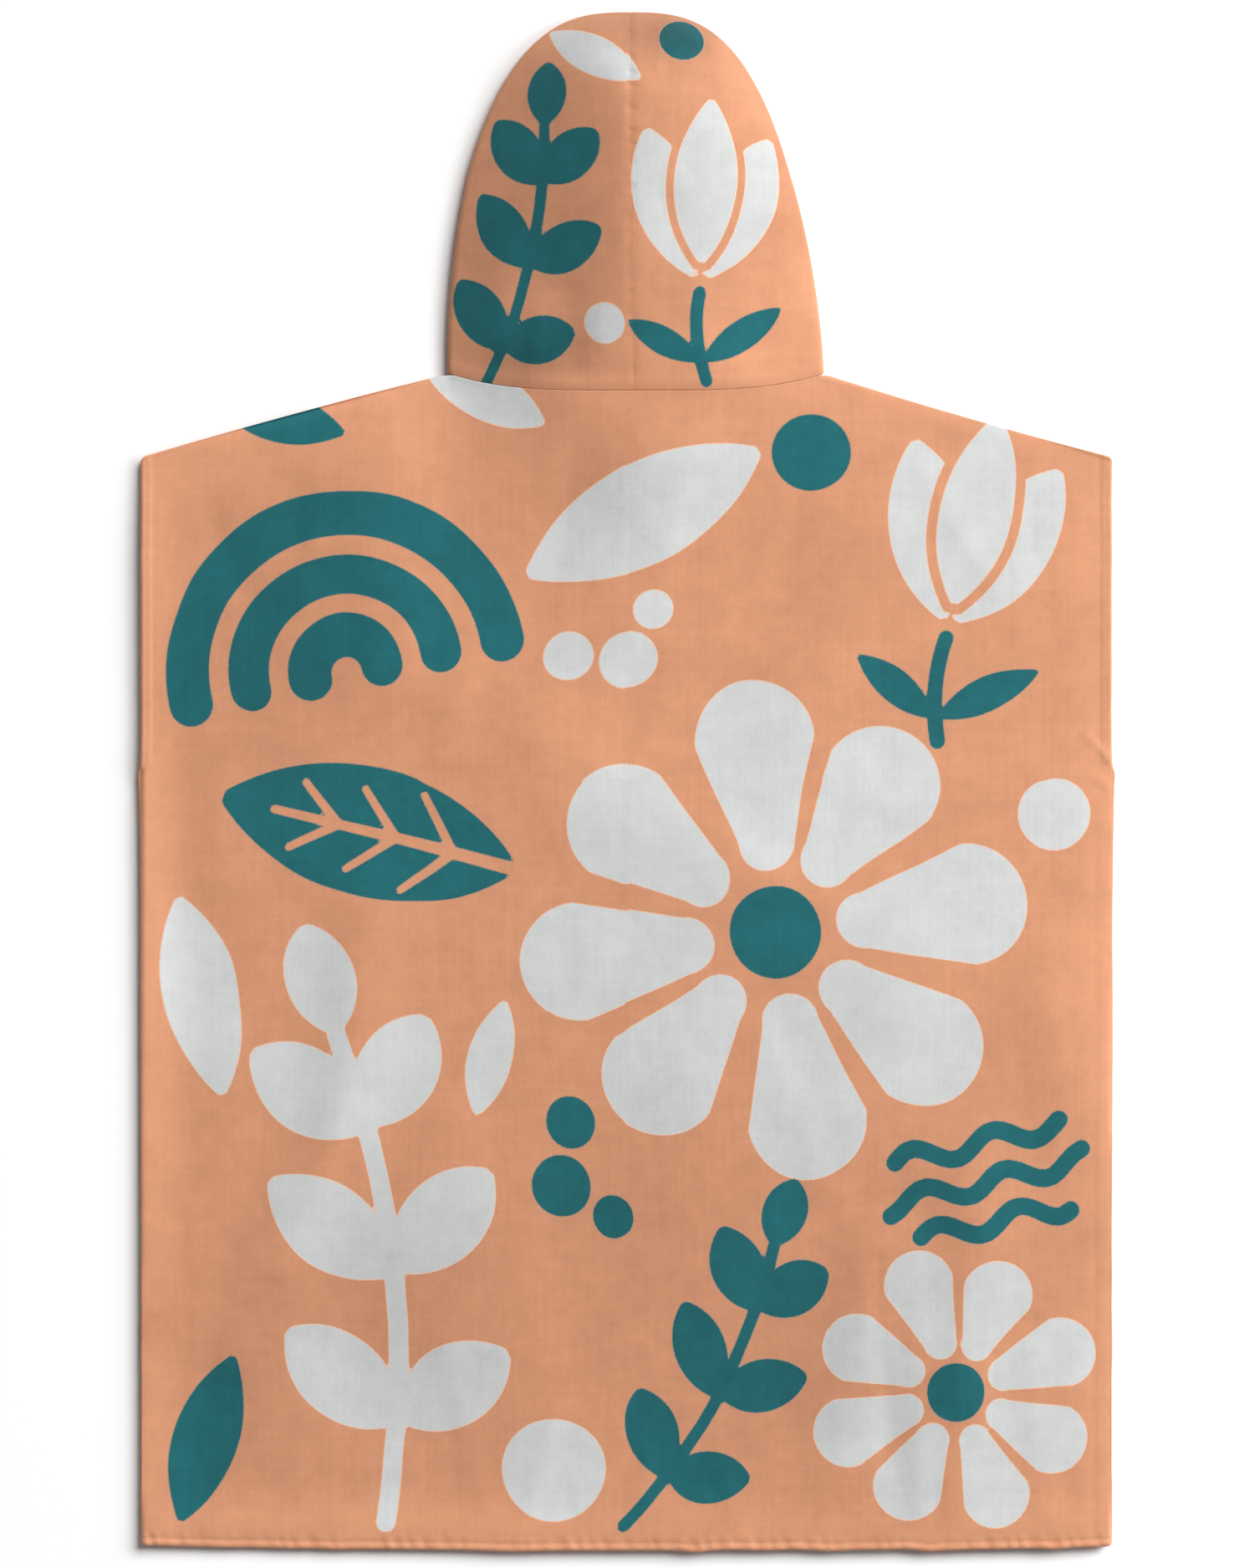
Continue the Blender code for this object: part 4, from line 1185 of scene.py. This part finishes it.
def makeTowelling(name):
    shader = Shader(name)
    place = shader.node("UVMap", {"uv_map": "cloth"}, {})

    def noise(scale, detail, stretch=(1.0, 1.0, 1.0), rough=0.5):  # -0.5 to 0.5, its scale in waves per metre
        moved = shader.node("Mapping", {}, {"Vector": place, "Scale": stretch})
        sockets = {"Vector": moved, "Scale": scale, "Detail": detail, "Roughness": rough}
        return shader.node("TexNoise", {"noise_dimensions": "2D"}, sockets) - 0.5

    def mask(value, low, high):  # 0 below low, 1 above high, an s-curve between them
        sockets = {"Value": value, "From Min": low, "From Max": high}
        return shader.node("MapRange", {"interpolation_type": "SMOOTHSTEP"}, sockets)

    def shade(colour, factor):
        return shader.node("VectorMath", {"operation": "SCALE"}, {0: look[colour][:3], "Scale": factor})

    # the pile frays the print's outlines, and the cloth's own colour shows paler beside the inks
    fray = noise(look["fraySize"], 2.0) * (2.0 * look["fray"])
    white, teal = shader.field("whitePrint") + fray, shader.field("tealPrint") + fray
    lining = shader.field("lining")
    edge, fringe = look["edge"], look["fringe"]
    onWhite, onTeal = mask(white, -edge, edge), mask(teal, -edge, edge)
    byWhite = mask(white, -edge - fringe, -edge) * look["fringeStrength"]
    byTeal = mask(teal, -edge - fringe, -edge) * look["fringeStrength"]
    # the cloth's unevenness: cloudy pile in four sizes, brushed lines and single tufts
    clouds = [noise(scale, 2.0, rough=0.6) * strength for scale, strength in look["clouds"]]
    fineness, along, across = look["streaks"]
    lines = noise(fineness, 2.0, (1.0, 0.05, 1.0)) * along + noise(fineness, 2.0, (0.05, 1.0, 1.0)) * across
    tufts = noise(look["tufts"][0], 2.0, rough=0.7)
    uneven = clouds[0] + clouds[1] + clouds[2] + clouds[3]
    uneven = uneven + lines + tufts * look["tufts"][1]
    # painted light and shade: the patches' field makes the cloth and both inks paler or darker
    paintedShadeFactor = shader.field("paintedShading") + 1.0
    colour = shader.mix(byWhite, shade("peach", uneven + paintedShadeFactor), look["whiteFringe"])
    colour = shader.mix(byTeal, colour, look["tealFringe"])
    colour = shader.mix(onWhite, colour, shade("white", uneven * look["whiteUneven"] + paintedShadeFactor))
    colour = shader.mix(onTeal, colour, shade("teal", uneven * look["tealUneven"] + paintedShadeFactor))
    colour = shader.mix(lining, colour, shade("lining", uneven + 1.0))
    # pile and loops as relief: the printed side is sheared velour, the inside has loops
    cells, relief = {"Vector": place, "Scale": look["loops"]}, look["relief"]
    loops = shader.node("TexVoronoi", {"voronoi_dimensions": "2D"}, cells, "Distance")
    pile = tufts * relief["tufts"] + clouds[3] * relief["clouds"] + lines * relief["lines"]
    pile = pile - loops * lining * relief["loops"]
    bump = {"Height": pile, "Strength": look["bump"], "Distance": look["bumpDepth"]}
    return shader.finish(
        Base_Color=colour,
        Normal=shader.node("Bump", {}, bump),
        Roughness=look["roughness"],
        Sheen_Weight=look["sheen"],
        Sheen_Roughness=look["sheenRoughness"],
        Sheen_Tint=look["sheenTint"],
        Specular_IOR_Level=look["specular"],
    )


thread = {
    "dark": (0.60, 0.26, 0.145, 1.0),
    "pale": (0.74, 0.36, 0.22, 1.0),
    "twist": 1800.0,
    "bump": 0.4,
    "bumpDepth": 0.0002,
    "roughness": 0.6,
}


def makeThread(name):
    shader = Shader(name)
    place = shader.node("TexCoord", {}, {}, "Object")
    twist = shader.node("TexNoise", {}, {"Vector": place, "Scale": thread["twist"], "Detail": 1.0})
    colour = shader.mix(twist, thread["dark"], thread["pale"])
    bump = {"Height": twist, "Strength": thread["bump"], "Distance": thread["bumpDepth"]}
    normal = shader.node("Bump", {}, bump)
    return shader.finish(Base_Color=colour, Normal=normal, Roughness=thread["roughness"])


towelling = makeTowelling("printed_towelling")
for piece in pieces.values():
    piece.data.materials.append(towelling)
stitches.data.materials.append(makeThread("sewing_thread"))
print("materials made")

stage = {
    "radius": 16.0,  # of the flat floor, round the edge of which a curve leads up to a low wall
    "curve": 2.0,
    "wall": 2.2,
    "drop": 0.0003,
    "colour": (0.97, 0.97, 0.97, 1.0),
    "glow": 0.42,  # the wall's own light, so that it stays pale on the side away from the lamps
    "dark": (0.0, 0.0, 0.0, 1.0),
    "bright": (1.0, 1.0, 1.0, 1.0),
    "middle": 0.2,  # radius of the one round face in the middle
    "curveLines": 17,
    "sides": 96,
}


def makeFloorLook():
    # a pale matt surface whose own light grows from 0 on the floor to its full strength on the wall
    shader = Shader("pale_floor")
    glow = shader.mix(shader.field("wall"), stage["dark"], stage["bright"])
    return shader.finish(
        Base_Color=stage["colour"],
        Roughness=1.0,
        Emission_Color=glow,
        Emission_Strength=stage["glow"],
    )


def makeFloor():
    # a round studio cove: the profile (0, 0), (radius, 0), a quarter circle, a wall, turned round the middle
    angle = np.linspace(0.0, np.pi / 2, stage["curveLines"])
    away = np.concatenate([[stage["middle"]], stage["radius"] + stage["curve"] * np.sin(angle)])
    height = np.concatenate([[0.0], stage["curve"] * (1.0 - np.cos(angle))])
    away, height = np.append(away, away[-1]), np.append(height, stage["wall"] + stage["curve"])
    turn = np.linspace(0.0, 2.0 * np.pi, stage["sides"] + 1)[:-1, None]
    places = np.broadcast_arrays(away * np.cos(turn), away * np.sin(turn), height - stage["drop"])
    points = np.stack(places, -1)
    index = np.arange(points[..., 0].size).reshape(len(turn), len(away))
    after = np.roll(index, -1, 0)
    faces = np.stack([index[:, :-1], index[:, 1:], after[:, 1:], after[:, :-1]], -1).reshape(-1, 4).tolist()
    mesh = bpy.data.meshes.new("floor")
    mesh.from_pydata(points.reshape(-1, 3).tolist(), [], faces + [index[:, 0].tolist()])
    onWall = np.broadcast_to(np.clip((away - stage["radius"]) / stage["curve"], 0.0, 1.0), index.shape)
    addField(mesh, "wall", onWall)
    mesh.shade_smooth()
    mesh.materials.append(makeFloorLook())
    addObject("floor", mesh)


makeFloor()

for node, piece in pieces.items():
    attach(piece, "root")
    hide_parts(node)
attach(stitches, "root")
print("pieces placed on their body")

light = {
    "sunTurn": 46.0,  # degrees round from +X towards +Y
    "sunHeight": 38.0,  # degrees above the floor
    "sunStrength": 3.5,
    "sunAngle": 36.0,
    "sunDistance": 3.0,  # where its holder stands, which doesn't change its light
    "boxTurn": 12.0,  # the soft box is near, lower and more to one side, on which the cloth is brighter
    "boxHeight": 28.0,
    "boxStrength": 60.0,
    "boxSize": 1.6,
    "boxDistance": 3.0,
    "worldStrength": 0.105,
    "worldColour": (1.0, 1.0, 1.0, 1.0),
}


def addLamp(name, kind, turn, height, distance):
    # a lamp at this distance along (cos h cos t, cos h sin t, sin h) that looks at the middle
    lamp = bpy.data.lights.new(name, kind)
    holder = addObject(name, lamp)
    turn, height = np.radians(turn), np.radians(height)
    towards = Vector((np.cos(height) * np.cos(turn), np.cos(height) * np.sin(turn), np.sin(height)))
    holder.rotation_euler = towards.to_track_quat("Z", "Y").to_euler()
    holder.location = towards * distance
    holder.visible_camera = False
    return lamp


def makeLight():
    sun = addLamp("sun", "SUN", light["sunTurn"], light["sunHeight"], light["sunDistance"])
    sun.energy, sun.angle = light["sunStrength"], np.radians(light["sunAngle"])
    box = addLamp("soft_box", "AREA", light["boxTurn"], light["boxHeight"], light["boxDistance"])
    box.shape, box.size, box.energy = "DISK", light["boxSize"], light["boxStrength"]
    world = bpy.data.worlds.new("studio")
    world.use_nodes = True
    background = world.node_tree.nodes["Background"]
    background.inputs["Color"].default_value = light["worldColour"]
    background.inputs["Strength"].default_value = light["worldStrength"]
    bpy.context.scene.world = world
    bpy.context.scene.view_settings.view_transform = "Standard"


view = {
    "lens": 100.0,
    "sensor": 36.0,
    "widthSeen": 1.0318,  # metres of floor across the picture
    "imageWidth": 1500,
    "imageHeight": 1875,
    "centre": (0.0003, -0.0024),
    "level": 0.006,
}


def makeCamera():
    # straight above the middle. The sensor's longer side is the picture's height
    camera = bpy.data.cameras.new("camera")
    camera.lens, camera.sensor_width = view["lens"], view["sensor"]
    heightSeen = view["widthSeen"] * view["imageHeight"] / view["imageWidth"]
    distance = heightSeen * view["lens"] / view["sensor"]
    viewer = addObject("camera", camera)
    viewer.location = (*view["centre"], view["level"] + distance)
    bpy.context.scene.camera = viewer


makeLight()
makeCamera()
print("light and camera made")
